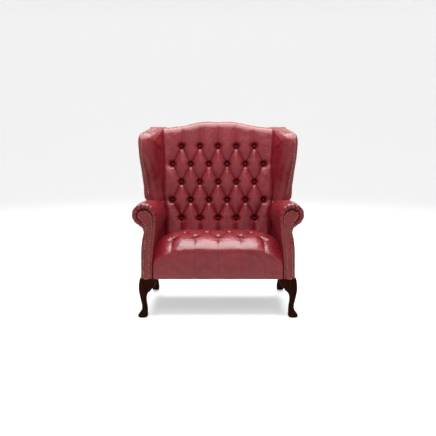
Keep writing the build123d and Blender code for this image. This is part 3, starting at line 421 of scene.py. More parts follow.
def button_seats(form, made, xs, vs, spots):
    """Where each button sits on a made skin, and the way it faces."""
    normals = across_normals(form)
    places, ways = [], []
    for bx, bv in spots:
        k = np.unravel_index(np.argmin(np.hypot(xs - bx, vs - bv)), xs.shape)
        way = normals[k] if normals[k][2] >= 0 else -normals[k]
        places.append([bx, *made[k][1:]])
        ways.append(way)
    return places, ways


# A darker copy of the leather for the buttons: painted shade of the button pits.
shaded_button_leather = leather_material(
    "shaded_button_leather", dark=(0.03, 0.002, 0.003), middle=(0.05, 0.003, 0.005),
    light=(0.065, 0.006, 0.008), rough=0.45, gloss=0.2,
)
places, ways = button_seats(place, back_points, flat_x, flat_v, back_spots)
back_buttons = domes("inside_back_buttons", places, ways, **BUTTON)
settle(back_buttons, shaded_button_leather, "leather", "back_buttons")

# Crest nails: domed brass heads with a dark patina, close set along the rear of the crest,
# where they hold the inside back's leather to the crest rail.
NAIL_PITCH = 11.2
NAIL = {"height": 3.2, "sides": 8, "rings": 3}
CREST_NAIL_RADIUS, CREST_NAIL_ROW = 5.5, -9


def paced(path, pitch):
    """Places at an even pitch along a path."""
    path = np.asarray(path, float)
    steps = np.linalg.norm(np.diff(path, axis=0), axis=1)
    reach = np.concatenate([[0], np.cumsum(steps)])
    count = int(reach[-1] / pitch)
    t = (np.arange(count) + 0.5) * reach[-1] / count
    return np.stack([np.interp(t, reach, path[:, k]) for k in range(path.shape[1])], 1)


def plain_material(name, dark, light, rough, metal, scale):
    """A finish with small spots of two shades."""
    made, tree, shader = material(name)
    spots = cloudy(tree, in_place(tree), scale, 4.0, 0.6)
    tree.links.new(shades(tree, spots, 0.38, dark, 0.66, light), shader.inputs["Base Color"])
    shader.inputs["Roughness"].default_value = rough
    shader.inputs["Metallic"].default_value = metal
    return made


brass = plain_material(
    "antique_brass", dark=(0.07, 0.04, 0.027), light=(0.34, 0.21, 0.14),
    rough=0.3, metal=1.0, scale=160.0,
)
places = paced(back_points[CREST_NAIL_ROW][2:-2], NAIL_PITCH)
crest_nails = domes("crest_nails", places, [(0, 0, 1)] * len(places), CREST_NAIL_RADIUS, **NAIL)
settle(crest_nails, brass, "nail_brass", "back_nails")

# Seat: a domed hide over springs and wadding, buttoned on top. It falls away to the arms
# and the rear, and rolls over the front into a border whose pleats run down from the
# front row of buttons to the rail.
RAIL_LOW = 222
SEAT_HALF, SEAT_SIDE, CROWN_Z, CROWN_Y = 372, 371, 455, -130
SEAT_REAR_Y, REAR_FALL, FULL_FALL_Y = 150, 46, 170
FALL_SHARES = [0, 0.45, 0.61, 0.77, 0.9, 1.0]
FALLS = [0, 0, 6, 22.5, 46.5, 75]
ROLL_AT = [0, 0.2, 0.36, 0.5, 0.63, 0.74, 0.83, 0.91, 1.0]
ROLL_Y = [-130, -192, -238, -278, -313, -341, -362, -377, -385]
ROLL_DROP = [0, -3, -9, -18, -29, -40.5, -51, -62.5, -84]
SEAT_PITCH, SEAT_ROW, SEAT_FIRST = 133, 115, -240
SEAT_COUNTS = (5, 4, 5)
PLEAT_TO_RAIL, PLEAT_TO_REAR, SIDE_TUCK, RAIL_TUCK = 480, 250, 9, 3
SEAT_COLUMNS, MIDDLE_COLUMN = 221, 110
SEAT_TOP_ROWS, SEAT_ROLL_ROWS, BORDER_ROWS, ABOVE_BORDER = 66, 76, 50, 140


def push(points, amount):
    """Moves a grid's points along its own normals."""
    return points + across_normals(points) * amount[..., None]


def seat_profile():
    """Depth, height under the crown, and share of the border, for one side view."""
    spots = []
    for k in range(SEAT_TOP_ROWS):
        y = SEAT_REAR_Y - (SEAT_REAR_Y - CROWN_Y) * k / SEAT_TOP_ROWS
        fall = REAR_FALL * ((y - CROWN_Y) / (FULL_FALL_Y - CROWN_Y)) ** 1.7
        spots.append((y, -fall, 0))
    for k in range(SEAT_ROLL_ROWS):
        t = k / SEAT_ROLL_ROWS
        spots.append((float(through(ROLL_AT, ROLL_Y, t)), float(through(ROLL_AT, ROLL_DROP, t)), 0))
    for k in range(BORDER_ROWS + 1):
        spots.append((ROLL_Y[-1], ROLL_DROP[-1], k / BORDER_ROWS))
    return spots


def seat_run(y):
    """The unrolled place of a depth on the seat's top."""
    depths = [-p[0] for p in profile[:ABOVE_BORDER]]
    return float(np.interp(-y, depths, seat_v[:ABOVE_BORDER, MIDDLE_COLUMN]))


profile = seat_profile()
seat_columns = np.linspace(-SEAT_HALF, SEAT_HALF, SEAT_COLUMNS)
drop = through(FALL_SHARES, FALLS, np.abs(seat_columns) / SEAT_HALF)
rows, runs = [], [np.zeros_like(seat_columns)]
for y, z, down in profile:
    top = CROWN_Z - drop + z
    height = top + (RAIL_LOW - top) * down
    row = np.stack([seat_columns, np.full_like(seat_columns, y), height], 1)
    if rows:
        step = row - rows[-1]
        runs.append(runs[-1] + np.hypot(step[:, 1], step[:, 2]))
    rows.append(row)
place = np.array(rows)
seat_x = np.tile(seat_columns, (len(rows), 1))
seat_v = np.array(runs)
seat_rows = [
    [(x, seat_run(SEAT_FIRST + row * SEAT_ROW)) for x in spread_out(count, SEAT_PITCH)]
    for row, count in enumerate(SEAT_COUNTS)
]
seat_spots = sum(seat_rows, [])
lines = [
    (a, b, 1)
    for row, behind in zip(seat_rows, seat_rows[1:])
    for a in row
    for b in behind
    if abs(a[0] - b[0]) < SEAT_PITCH
]
lines += [(a, (a[0], a[1] + PLEAT_TO_RAIL), 0.9) for a in seat_rows[0]]
lines += [(a, (a[0], a[1] - PLEAT_TO_REAR), 0.9) for a in seat_rows[-1]]
fold, fold_near = fold_depth(seat_x, seat_v, lines, radius=72, half=27)
pit, pit_near, wrinkle = pit_depth(seat_x, seat_v, seat_spots, floor=18, half=36)
over_front = smooth(seat_run(-300), seat_run(-340) + 40, seat_v)
fold *= 1 - 0.8 * over_front
depth = np.cbrt(fold**3 + pit**3)
seam = 1.9 * np.exp(-((fold_near / 2.4) ** 2)) * smooth(9, 16, pit_near)
puff = 4 * smooth(0, 55, fold_near) * smooth(10, 60, pit_near)
past_side = np.abs(seat_x) - SEAT_SIDE
lift = puff - depth - seam + wrinkle - SIDE_TUCK * smooth(-7, 1, past_side) * over_front
lift += lumps(place, size=42, height=1.5) + lumps(place, size=14, height=0.45)
lift -= RAIL_TUCK * smooth(RAIL_LOW + 28, RAIL_LOW + 4, place[..., 2])
# Painted shade: darker, duller leather along the folds (less over the front roll), round each
# button pit and where the seat tucks down beside the arms.
painted_shade = (0.75 - 0.35 * over_front) * np.exp(-((fold_near / 3.6) ** 2))
painted_shade += np.exp(-((np.clip(pit_near - 10, 0, None) / 7) ** 2))
painted_shade = np.clip(painted_shade + smooth(-4, 1, past_side), 0, 1)
seat_points = push(place, -lift)
seat = skin("seat_upholstery", seat_points, painted_shade, skirt=(0, 8, 6))
settle(seat, leather, "leather", "seat_cover", "seat_padding", fill=0.85)
places, ways = button_seats(place, seat_points, seat_x, seat_v, seat_spots)
seat_buttons = domes("seat_top_buttons", places, ways, **BUTTON)
settle(seat_buttons, shaded_button_leather, "leather", "seat_buttons")

# Arms: leather over a padded roll, carried back from one section with its toe-in. Each
# place of the section has x, z and its toe-in in degrees. The front edge is rounded, and
# the leather is gathered there in small pleats and nailed behind the facing.
ARM_SECTION = [
    (438, 222, 0.5), (437, 300, 0.5), (435, 391, 0.5), (429, 448, 0.6), (421, 500, 1.0),
    (427, 515, 1.6), (448, 532, 2.3), (468, 549, 2.3), (479, 571, 2.3), (481, 593, 2.3),
    (475, 616, 2.3), (459, 636, 2.3), (436, 647, 2.3), (411, 650, 2.3), (386, 643, 2.3),
    (367, 626, 2.3), (355, 602, 2.3), (350, 573, 2.4), (352, 528, 2.6), (358, 471, 2.75),
    (366, 414, 2.75), (370, 340, 2.75), (372, 280, 2.75), (372, 222, 2.75),
]
# Rows round the front edge: depth on the roll, depth below it, and inset from the section.
ARM_EDGE = [
    (-378, -384.6, 30), (-384, -384.6, 26), (-388, -384.6, 21), (-389.5, -384.5, 16.5),
    (-388.8, -384.2, 12), (-386, -383.6, 7.6), (-381.5, -382.2, 4), (-375, -380.6, 1.2),
    (-368, -377, 0.2),
]
ARM_FRONT, ARM_STEPS, ARM_COLUMNS = -384, 70, 170
ROLL_FROM, ROLL_FULL, ROLL_FALL, TOE_Y = 470, 540, 42, -385
PLEAT_PITCH, PLEAT_DEPTH, PLEAT_FLAT, PLEAT_LONG, EDGE_LONG = 33, 6, 6, 22, 22


def mirrored(source, name):
    """The same piece on the other side of the chair."""
    bm = bmesh.new()
    bm.from_mesh(source.data)
    bmesh.ops.scale(bm, vec=(-1, 1, 1), verts=bm.verts)
    bmesh.ops.reverse_faces(bm, faces=bm.faces)
    return put_in(name, bm)


def along_section(section, count):
    """Evenly spaced places on a smooth line through a section, and their runs along it."""
    data = np.array(section, float)
    reach = np.concatenate([[0], np.cumsum(np.hypot(*np.diff(data[:, :2], axis=0).T))])
    t = np.linspace(0, reach[-1], count)
    return np.stack([through(reach, data[:, k], t) for k in range(data.shape[1])], 1), t


def beside(line):
    """Directions at a right angle to a flat line."""
    tangent = np.gradient(line, axis=0)
    tangent /= np.linalg.norm(tangent, axis=1, keepdims=True)
    return np.stack([tangent[:, 1], -tangent[:, 0]], 1)


def arm_skin():
    section, reach = along_section(ARM_SECTION, ARM_COLUMNS)
    outward = beside(section[:, :2])
    toe_in = np.tan(np.radians(section[:, 2]))
    on_roll = smooth(ROLL_FROM, ROLL_FULL, section[:, 1])
    fall = ROLL_FALL * smooth(440, 560, section[:, 1])
    wave = 1 - np.abs(np.sin(np.pi * reach / PLEAT_PITCH + 0.7 * np.sin(reach / 41)))
    place = [(slim + (full - slim) * on_roll, inset) for full, slim, inset in ARM_EDGE]
    first = ARM_FRONT + EDGE_LONG
    end = back_y(REAR_BEHIND - 2 - 6 * on_roll, section[:, 1])
    for k in range(1, ARM_STEPS + 1):
        place.append((first + (end - first) * (k / ARM_STEPS) ** 1.35, 0))
    grid, shade_marks = [], []
    for y, inset in place:
        behind = np.clip(y - ARM_FRONT - PLEAT_FLAT, 0, None)
        gather = np.exp(-behind / PLEAT_LONG) * (0.35 + 0.65 * on_roll)
        pleat = wave**4 * gather * on_roll
        shift = inset + PLEAT_DEPTH * pleat - 2.2 * gather * on_roll - 2.6 * on_roll
        x = section[:, 0] - outward[:, 0] * shift - toe_in * (y - TOE_Y)
        z = section[:, 1] - outward[:, 1] * shift - fall * smooth(-270, 160, y)
        grid.append(np.stack([x, y, z], 1))
        # Painted shade in the hollows of the gathered pleats on the front roll.
        shade_marks.append(np.clip(pleat * 1.2, 0, 1))
    grid = np.array(grid)
    bump = lumps(grid, size=45, height=1.4) + lumps(grid, size=15, height=0.5)
    grid = push(grid, bump * smooth(0, 6, np.arange(len(grid)))[:, None])
    grid[..., 2] = np.maximum(grid[..., 2], RAIL_LOW)
    return skin("arm_upholstery_left", grid, np.array(shade_marks), ring=True)


arm_left = arm_skin()
arm_right = mirrored(arm_left, "arm_upholstery_right")
for arm, side in ((arm_left, "left"), (arm_right, "right")):
    settle(
        arm, leather, "leather",
        f"arm_cover_{side}", f"arm_padding_{side}", f"outside_arm_{side}", fill=0.9,
    )

# Arm facings: a board padded and covered in leather, crowned a little in the middle, and
# pinned to the arm's front inside its ring of nails. The head's outline is in shares of
# the roll's radius.
ROLL_X, ROLL_Z, ROLL_R = 416, 586, 65
FACING_HEAD_SHARES = [
    (-0.749, -0.554), (-0.712, -0.085), (-0.446, 0.295), (0, 0.454), (0.4, 0.342),
    (0.562, -0.035), (0.372, -0.414), (0.137, -0.697), (-0.04, -1.055),
]
FACING_TOP = 3
FACING_INNER = [(384.5, 222), (378.5, 330), (371, 470)]
FACING_OUTER = [(428.5, 222), (420, 430)]
FACING_ROWS, FACING_COLUMNS, RING_PLACES = 110, 41, 400
PANEL_Y, PANEL_ROLL, PANEL_CROWN, NAIL_SHADE = -383.5, 7, 2.5, 4.6
HEAD_HIGH, HEAD_INNER, HEAD_INNER_Z, HEAD_OUTER, HEAD_OUTER_Z = 26, 36, 590, 33, 595
FACING_NAILS = [
    (422, 226), (420, 322), (416, 391), (409, 471), (406, 530), (421, 548), (435, 565),
    (446, 582), (445, 597), (435, 606), (416, 609), (398, 606), (384, 594), (376, 579),
    (373, 556), (375, 516), (379, 477), (385, 431), (389, 391), (391, 226),
]
facing_ring = along_section(FACING_NAILS, RING_PLACES)[0]


def facing_skin():
    head = np.array([(ROLL_X + x * ROLL_R, ROLL_Z + z * ROLL_R) for x, z in FACING_HEAD_SHARES])
    left = np.array([*FACING_INNER, *head[:FACING_TOP + 1]])
    right = np.array([*FACING_OUTER, *head[:FACING_TOP - 1:-1]])
    top_x, top_z = head[FACING_TOP]
    rise = np.sin(np.linspace(0, math.pi / 2, FACING_ROWS)) ** 0.9
    height = RAIL_LOW + (top_z - RAIL_LOW) * rise
    height[-1] = top_z - 0.05
    share = np.linspace(-1, 1, FACING_COLUMNS)
    share = np.sign(share) * (1 - (1 - np.abs(share)) ** 1.4)
    near_top = np.sqrt(np.clip((top_z - height) / HEAD_HIGH, 0, 1))
    left_x = through(left[:, 1], left[:, 0], height)
    right_x = through(right[:, 1], right[:, 0], height)
    left_x = np.where(height > HEAD_INNER_Z, top_x - HEAD_INNER * near_top, left_x)
    right_x = np.where(height > HEAD_OUTER_Z, top_x + HEAD_OUTER * near_top, right_x)
    grid = []
    for z, a, b in zip(height, left_x, right_x):
        x = a + (b - a) * (share + 1) / 2
        edge = np.minimum((1 - np.abs(share)) * (b - a) / 2, (top_z - z) * 1.3)
        roll = np.sqrt(np.clip(1 - (1 - np.clip(edge / 6, 0, 1)) ** 2, 0, 1))
        y = PANEL_Y - PANEL_ROLL * roll - PANEL_CROWN * smooth(6, 20, edge)
        grid.append(np.stack([x, y, np.full_like(x, z)], 1))
    grid = np.array(grid)
    # Painted shade in a band round the ring of nails, and along the facing's side edges in the seam
    # against the arm's ring.
    apart = np.hypot(grid[..., :1] - facing_ring[:, 0], grid[..., 2:] - facing_ring[:, 1])
    shade_marks = 0.9 * np.exp(-((apart.min(axis=2) / NAIL_SHADE) ** 2))
    shade_marks[:, :2] = shade_marks[:, -2:] = 0.8
    return skin("arm_facing_panel_left", grid, shade_marks, skirt=(0, 8, 0))


facing_left = facing_skin()
facing_right = mirrored(facing_left, "arm_facing_panel_right")
settle(facing_left, leather, "leather", "arm_facing_left", fill=0.8)
settle(facing_right, leather, "leather", "arm_facing_right", fill=0.8)

# Wings: leather over a padded board that stands on the arm. The side view is a line up
# the front, round the corner and back along the top, and the skin goes from the rear
# over the outer side, round that line and over the inner side.
WING_EDGE = [
    (151, 565), (151, 640), (149, 700), (137, 750), (119, 806), (103, 862), (94, 915),
    (94, 962), (105, 998), (134, 1020), (176, 1029), (232, 1036), (290, 1042), (342, 1048),
    (391, 1055),
]
WING_COLUMNS, ROUND_ROWS, FLAT_ROWS = 150, 10, 26
WING_ROOT_LOW, WING_ROOT_HIGH = 565, 1052
OUT_TOE, OUT_LEAN = math.tan(math.radians(11.5)), math.tan(math.radians(2.93))
IN_TOE, IN_LEAN = math.tan(math.radians(15.6)), math.tan(math.radians(6.8))
OUT_X, OUT_Y, OUT_Z = 437, 390, 1054
IN_X, IN_Y, IN_Z = 350, 227, 854
REACH = {"outer": 1.0, "inner": 1.25}
OUT_ROUND, IN_ROUND_FRONT, IN_ROUND_TOP, WING_SWELL = 15, 74, 18, 9
ARM_TUCK, TUCK_Z, TUCK_Y = 26, (628, 578), (300, 200)
NAILS_FROM, NAILS_TO = 15, -2


def outer_x(y, z):
    return OUT_X - OUT_TOE * (y - OUT_Y) + OUT_LEAN * (z - OUT_Z)


def inner_x(y, z):
    return IN_X - IN_TOE * (y - IN_Y) + IN_LEAN * (z - IN_Z)


def wing_side(side, radius, edge, inward, root):
    """Rows from the wing's edge back to its root, on one side."""
    block = []
    for k in range(ROUND_ROWS):
        a = k / (ROUND_ROWS - 1) * math.pi / 2
        depth_in = radius * REACH[side] * (1 - math.cos(a))
        block.append((edge + inward * depth_in[:, None], radius * (1 - math.sin(a))))
    start = edge + inward * (radius * REACH[side])[:, None]
    block += [(start + (root - start) * t, 0) for t in np.linspace(0.04, 1, FLAT_ROWS) ** 1.2]
    made = []
    for number, (spot, off) in enumerate(block):
        z = spot[:, 1]
        y = np.minimum(spot[:, 0], back_y(REAR_BEHIND - 1, z))
        if side == "outer":
            x = outer_x(y, z) - off - ARM_TUCK * smooth(*TUCK_Z, z) * smooth(*TUCK_Y, y)
        else:
            t = max(0, number - ROUND_ROWS + 1) / FLAT_ROWS
            swell = WING_SWELL * math.sin(math.pi * min(1, t * 1.1)) if t < 0.9 else 0
            x = inner_x(y, z) + off - swell
        made.append(np.stack([x, y, z], 1))
    return made


def wing_skin():
    """The wing, and the places and directions of its row of nails."""
    edge, reach = along_section(WING_EDGE, WING_COLUMNS)
    inward = beside(edge)
    share = reach / reach[-1]
    root_z = WING_ROOT_LOW + (WING_ROOT_HIGH - WING_ROOT_LOW) * share
    root = np.stack([back_y(REAR_BEHIND - 1, root_z), root_z], 1)
    in_round = IN_ROUND_FRONT - (IN_ROUND_FRONT - IN_ROUND_TOP) * smooth(0.4, 1.0, share)
    outer = wing_side("outer", np.full_like(share, OUT_ROUND), edge, inward, root)
    inner = wing_side("inner", in_round, edge, inward, root)
    grid = np.array(outer[::-1] + inner)
    number = np.arange(len(grid))
    bump = lumps(grid, size=50, height=1.6) + lumps(grid, size=16, height=0.5)
    bump *= (smooth(0, 4, number) * smooth(len(grid), len(grid) - 5, number))[:, None]
    grid = push(grid, bump)
    line = (grid[len(outer) - 1] + grid[len(outer)]) / 2
    facing = np.stack([np.zeros(len(edge)), -inward[:, 0], -inward[:, 1]], 1)
    made = skin("wing_upholstery_left", grid, skirt=(-4, -3, 0))
    nailed = np.concatenate([line, facing], 1)[NAILS_FROM:NAILS_TO]
    return made, paced(nailed, NAIL_PITCH)


wing_left, wing_line = wing_skin()
wing_right = mirrored(wing_left, "wing_upholstery_right")
for wing, side in ((wing_left, "left"), (wing_right, "right")):
    settle(
        wing, leather, "leather",
        f"wing_cover_{side}", f"wing_padding_{side}", f"outside_wing_{side}", fill=0.9,
    )

# Facing and wing nails: the same brass heads, close set round each arm facing and across
# its foot, and up and along the edge of each wing.
NAIL_RADIUS, FACING_NAIL_Y, FOOT_NAIL_Z = 4.2, -390.2, 226
FOOT_NAIL_X = (399, 407, 415)
ring = np.insert(facing_ring, 1, FACING_NAIL_Y, axis=1)
places = [*paced(ring, NAIL_PITCH), *((x, FACING_NAIL_Y, FOOT_NAIL_Z) for x in FOOT_NAIL_X)]
ways = [(0, -1, 0)] * len(places)
facing_nails_left = domes("facing_nails_left", places, ways, NAIL_RADIUS, **NAIL)
facing_nails_right = mirrored(facing_nails_left, "facing_nails_right")
wing_nails_left = domes(
    "wing_nail_row_left", wing_line[:, :3], wing_line[:, 3:], NAIL_RADIUS, **NAIL
)
wing_nails_right = mirrored(wing_nails_left, "wing_nail_row_right")
settle(facing_nails_left, brass, "nail_brass", "arm_facing_nails_left")
settle(facing_nails_right, brass, "nail_brass", "arm_facing_nails_right")
settle(wing_nails_left, brass, "nail_brass", "wing_nails_left")
settle(wing_nails_right, brass, "nail_brass", "wing_nails_right")

# Front legs: cabriole, cut from one dark mahogany block, with a full knee, a slim ankle
# and a pad foot, bolted up into the corner block. Each section has its height, its reach
# out and in along x, and its squareness.
LEG_SECTIONS = [
    (2.5, 454, 406, 2.3), (5, 456, 403, 2.3), (8, 456.5, 401, 2.3), (14, 455.5, 399, 2.3),
    (25, 448, 400, 2.3), (40, 437.5, 400.5, 2.4), (60, 434, 402, 2.5), (84, 437, 405, 2.6),
    (107, 442, 406.5, 2.8), (131, 447, 402.5, 3.0), (154, 451, 391, 3.4),
    (183, 451.5, 383, 4.0), (205, 449, 381, 4.6), (222, 446, 380, 5.0),
]
LEG_FOOT, LEG_PAD = 2.5, 13
LEG_DIAGONAL, LEG_SIDES, PAD_ROWS, LEG_ROWS = 54, 56, 12, 90


def wood_material(name, dark, light, rough, scale):
    """Wood whose grain runs up the chair, with its pores in relief."""
    made, tree, shader = material(name)
    stretch = node(tree, "ShaderNodeMapping")
    stretch.inputs["Scale"].default_value = (1, 1, 0.12)
    tree.links.new(in_place(tree), stretch.inputs["Vector"])
    grain = cloudy(tree, stretch.outputs["Vector"], scale, 7.0, 0.65, Distortion=0.6)
    tree.links.new(shades(tree, grain, 0.35, dark, 0.7, light), shader.inputs["Base Color"])
    tree.links.new(relief(tree, grain, 0.15, 0.0005), shader.inputs["Normal"])
    shader.inputs["Roughness"].default_value = rough
    shader.inputs["Specular IOR Level"].default_value = 0.02
    return made


def squared(turn, power):
    """Cosines and sines, and the reach that squares a circle by a power."""
    c, s = np.cos(turn), np.sin(turn)
    return c, s, 1 / (np.abs(c) ** power + np.abs(s) ** power) ** (1 / power)


def leg_skin():
    data = np.array(LEG_SECTIONS, float)
    heights = np.concatenate([
        np.linspace(LEG_FOOT, LEG_PAD, PAD_ROWS), np.linspace(LEG_PAD + 1, RAIL_LOW, LEG_ROWS)
    ])
    turn = np.linspace(0, 2 * math.pi, LEG_SIDES, endpoint=False)
    grid = []
    for z in heights:
        out_x, in_x, power = (float(through(data[:, 0], data[:, k], z)) for k in (1, 2, 3))
        middle, half = (out_x + in_x) / 2, (out_x - in_x) / 2
        c, s, reach = squared(turn, power)
        x = middle + half * reach * c
        y = LEG_DIAGONAL - middle + half * reach * s
        grid.append(np.stack([x, y, np.full(LEG_SIDES, z)], 1))
    return skin("cabriole_leg_left", np.array(grid), ring=True)


mahogany = wood_material(
    "dark_mahogany", dark=(0.006, 0.0011, 0.0004), light=(0.019, 0.0032, 0.0009),
    rough=0.3, scale=60.0,
)
leg_left = leg_skin()
leg_right = mirrored(leg_left, "cabriole_leg_right")
settle(leg_left, mahogany, "mahogany", "front_leg_left")
settle(leg_right, mahogany, "mahogany", "front_leg_right")

# Knee ears: small mahogany brackets glued to the leg under the front and side rails,
# whose lower edge sweeps up to a thin tip, with a bead along it.
EAR_TOP, EAR_SIDES, EAR_POWER = 221.5, 40, 4.5
EAR_X = [346, 352, 362, 374, 386, 404]
EAR_LOW = [216, 200, 180, 166, 152, 140]
EAR_THICK_X = [346, 351, 360, 404]
EAR_THICK = [9, 14, 18, 24]
EAR_MIDDLE_Y, EAR_TIP_ROWS, EAR_ROWS = -370, 6, 34
BEAD_OUT, BEAD_UP, BEAD_HALF = 1.6, 7, 2.2


def ear_skin(name, rearward):
    """An ear beside the leg, or the one that runs rearward from it."""
    c, s, reach = squared(np.linspace(0, 2 * math.pi, EAR_SIDES, endpoint=False), EAR_POWER)
    tip = np.linspace(EAR_X[0], EAR_X[1], EAR_TIP_ROWS)
    grid = []
    for x in np.concatenate([tip, np.linspace(EAR_X[1] + 1, EAR_X[-1], EAR_ROWS)]):
        low = float(through(EAR_X, EAR_LOW, x))
        thick = float(through(EAR_THICK_X, EAR_THICK, x))
        above = (EAR_TOP - low) / 2 * (1 + s * reach)
        bead = BEAD_OUT * np.exp(-(((above - BEAD_UP) / BEAD_HALF) ** 2))
        y = EAR_MIDDLE_Y + (thick + bead) * c * reach
        row = np.stack([np.full(EAR_SIDES, x), y, low + above], 1)
        if rearward:
            row = np.stack([LEG_DIAGONAL - row[:, 1], LEG_DIAGONAL - row[:, 0], row[:, 2]], 1)
        grid.append(row)
    return skin(name, np.array(grid), ring=True)


ear_left = ear_skin("knee_ear_left", False)
ear_right = mirrored(ear_left, "knee_ear_right")
side_ear_left = ear_skin("knee_side_ear_left", True)
side_ear_right = mirrored(side_ear_left, "knee_side_ear_right")
settle(ear_left, mahogany, "mahogany", "knee_blocks")
for ear in (ear_right, side_ear_left, side_ear_right):
    settle(ear, mahogany, "mahogany")

# Outside back: one leather panel tacked over the chair's rear, from the rail to just
# under the crest and up to the wings' tops, with a leather welt sewn round its edge.
OUTSIDE_Z = [222, 360, 497, 560, 600, 651, 800, 1060]
OUTSIDE_HALF = [429, 421, 414, 414, 420, 431, 433, 435]
OUTSIDE_COLUMNS, OUTSIDE_ROWS = 121, 130
OUTSIDE_WIDEST, WING_TOP_Z, UNDER_CREST, WING_JOIN_X = 435, 1053, 13, (334, 344)
OUTSIDE_REACH, OUTSIDE_TALL, OUTSIDE_OFF, OUTSIDE_SWELL = 430, 800, 0.4, 2.8
WELT_RADIUS, WELT_SIDES, WELT_OFF = 2.4, 8, 0.6


def outside_skin():
    u = np.linspace(-1, 1, OUTSIDE_COLUMNS)
    wide = np.abs(u * OUTSIDE_WIDEST)
    top = through(CREST_X, CREST_Z, wide) - UNDER_CREST
    top += (WING_TOP_Z - top) * smooth(*WING_JOIN_X, wide)
    grid, shade_marks = [], []
    for v in np.linspace(0, 1, OUTSIDE_ROWS):
        z = RAIL_LOW + (top - RAIL_LOW) * v
        x = u * through(OUTSIDE_Z, OUTSIDE_HALF, z)
        edge = np.minimum((1 - np.abs(u)) * OUTSIDE_REACH, min(v, 1 - v) * OUTSIDE_TALL)
        behind = REAR_BEHIND + OUTSIDE_OFF + OUTSIDE_SWELL * smooth(0, 26, edge)
        grid.append(np.stack([x, back_y(behind, z), z], 1))
        # Painted shade along the panel's edge, beside the welt.
        shade_marks.append(0.6 * np.exp(-edge / 5))
    grid = np.array(grid)
    return skin("outside_back_panel", grid, np.array(shade_marks), skirt=(0, -3, 0)), grid


def tube(name, path, radius, sides):
    """A welt along a path."""
    path = np.array(path, float)
    along = np.gradient(path, axis=0)
    along /= np.linalg.norm(along, axis=1, keepdims=True)
    turns = np.linspace(0, 2 * math.pi, sides, endpoint=False)
    grid = []
    for spot, way in zip(path, along):
        a = np.cross(way, [0, 0, 1.0])
        if np.linalg.norm(a) < 0.2:
            a = np.cross(way, [0, 1.0, 0])
        a /= np.linalg.norm(a)
        b = np.cross(way, a)
        grid.append([spot + radius * (math.cos(t) * a + math.sin(t) * b) for t in turns])
    return skin(name, np.array(grid), ring=True)


outside_back, back_grid = outside_skin()
settle(outside_back, leather, "leather", "outside_back")
rim = np.concatenate([back_grid[:, 0], back_grid[-1, 1:-1], back_grid[::-1, -1]])
rear_welt = tube("outside_back_welt", rim[1:-1] + [0, WELT_OFF, 0], WELT_RADIUS, WELT_SIDES)
settle(rear_welt, leather, "leather")

# Inner frame, rear legs and underside: beech rails and posts joined by dowels, mahogany
# rear legs, steel springs in clips, jute hessian and webbing, a black dust cloth and
# plastic glides. Their shapes are the CAD nodes, which get their finishes here.
beech = wood_material(
    "sawn_beech", dark=(0.42, 0.26, 0.14), light=(0.62, 0.44, 0.27), rough=0.6, scale=40.0
)
steel = plain_material(
    "plain_steel", dark=(0.3, 0.3, 0.31), light=(0.5, 0.5, 0.5), rough=0.4, metal=1.0, scale=90.0
)
jute = plain_material(
    "woven_jute", dark=(0.30, 0.21, 0.12), light=(0.46, 0.34, 0.2),
    rough=0.9, metal=0.0, scale=400.0,
)
cloth = plain_material(
    "black_cloth", dark=(0.012, 0.012, 0.012), light=(0.03, 0.03, 0.03),
    rough=0.9, metal=0.0, scale=500.0,
)
plastic = plain_material(
    "dark_plastic", dark=(0.05, 0.045, 0.04), light=(0.09, 0.08, 0.07),
    rough=0.5, metal=0.0, scale=60.0,
)
by_slot = {
    "leather": leather, "mahogany": mahogany, "nail_brass": brass, "beech": beech,
    "spring_steel": steel, "hessian": jute, "foam": jute, "dust_cloth": cloth,
    "glide_plastic": plastic,
}
for part in frame["record"]["subparts"]:
    made = frame["nodes"][part["node"]]
    made.data.materials.clear()
    made.data.materials.append(by_slot[part["material_slot"]])

# Room: a pale floor that curves up into its backdrop all round, soft lights above and in
# front, and the camera, a little higher than the chair and looking down on it.
FLOOR_FLAT, FLOOR_CURVE, FLOOR_TOP = 5600, 2400, 5000
FLOOR_SIDES = 96


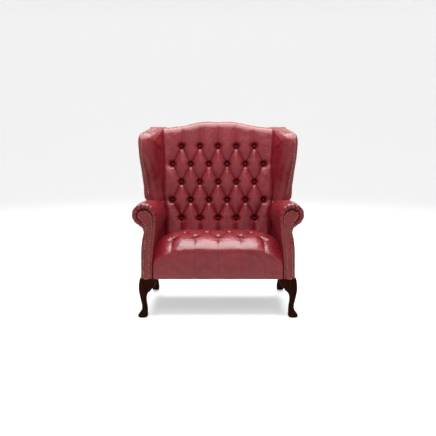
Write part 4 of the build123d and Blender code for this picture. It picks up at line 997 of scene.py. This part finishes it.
def floor_skin():
    around = np.linspace(0, 2 * math.pi, FLOOR_SIDES, endpoint=False)
    reach = [(0.01, 0), (1500, 0), (3500, 0), (FLOOR_FLAT, 0)]
    for a in np.linspace(0.1, math.pi / 2, 16):
        reach.append((FLOOR_FLAT + FLOOR_CURVE * math.sin(a), FLOOR_CURVE * (1 - math.cos(a))))
    reach.append((FLOOR_FLAT + FLOOR_CURVE, FLOOR_TOP))
    grid = [
        np.stack([radius * np.cos(around), radius * np.sin(around), np.full(FLOOR_SIDES, z)], 1)
        for radius, z in reach
    ]
    return skin("studio_floor", np.array(grid, float), ring=True, capped=False)


floor = floor_skin()
backdrop, tree, shader = material("pale_backdrop")
shader.inputs["Base Color"].default_value = (0.62, 0.62, 0.62, 1)
shader.inputs["Roughness"].default_value = 0.9
shader.inputs["Specular IOR Level"].default_value = 0.0
shader.inputs["Emission Color"].default_value = (1, 1, 1, 1)
shader.inputs["Emission Strength"].default_value = 0.42
floor.data.materials.append(backdrop)


def lamp(name, place, target, size, power):
    data = bpy.data.lights.new(name, "AREA")
    data.shape = "RECTANGLE"
    data.size, data.size_y = size
    data.energy = power
    made = bpy.data.objects.new(name, data)
    bpy.context.scene.collection.objects.link(made)
    made.location = place
    made.rotation_euler = (Vector(target) - Vector(place)).to_track_quat("-Z", "Y").to_euler()


lamp("key_light", (0, 0.4, 3.0), (0, 0.4, 0), size=(2.6, 4.0), power=300)
lamp("front_light", (0, -3.0, 3.2), (0, 0, 0.6), size=(2.4, 1.2), power=36)
lamp("front_left_light", (-2.4, -4.2, 1.9), (0, 0, 0.6), size=(2.0, 2.4), power=12)
lamp("front_right_light", (2.4, -4.2, 1.9), (0, 0, 0.6), size=(2.0, 2.4), power=12)
world = bpy.data.worlds.new("studio_world")
world.use_nodes = True
sky = world.node_tree.nodes["Background"]
sky.inputs["Color"].default_value = (1, 1, 1, 1)
sky.inputs["Strength"].default_value = 0.22
bpy.context.scene.world = world
bpy.context.scene.view_settings.view_transform = "Standard"

camera_data = bpy.data.cameras.new("camera")
camera_data.lens = 66.96
camera_data.sensor_width = 36
camera = bpy.data.objects.new("camera", camera_data)
bpy.context.scene.collection.objects.link(camera)
camera.location = (0, -4.885, 1.226)
camera.rotation_euler = (math.radians(90 - 8.255), 0, 0)
bpy.context.scene.camera = camera
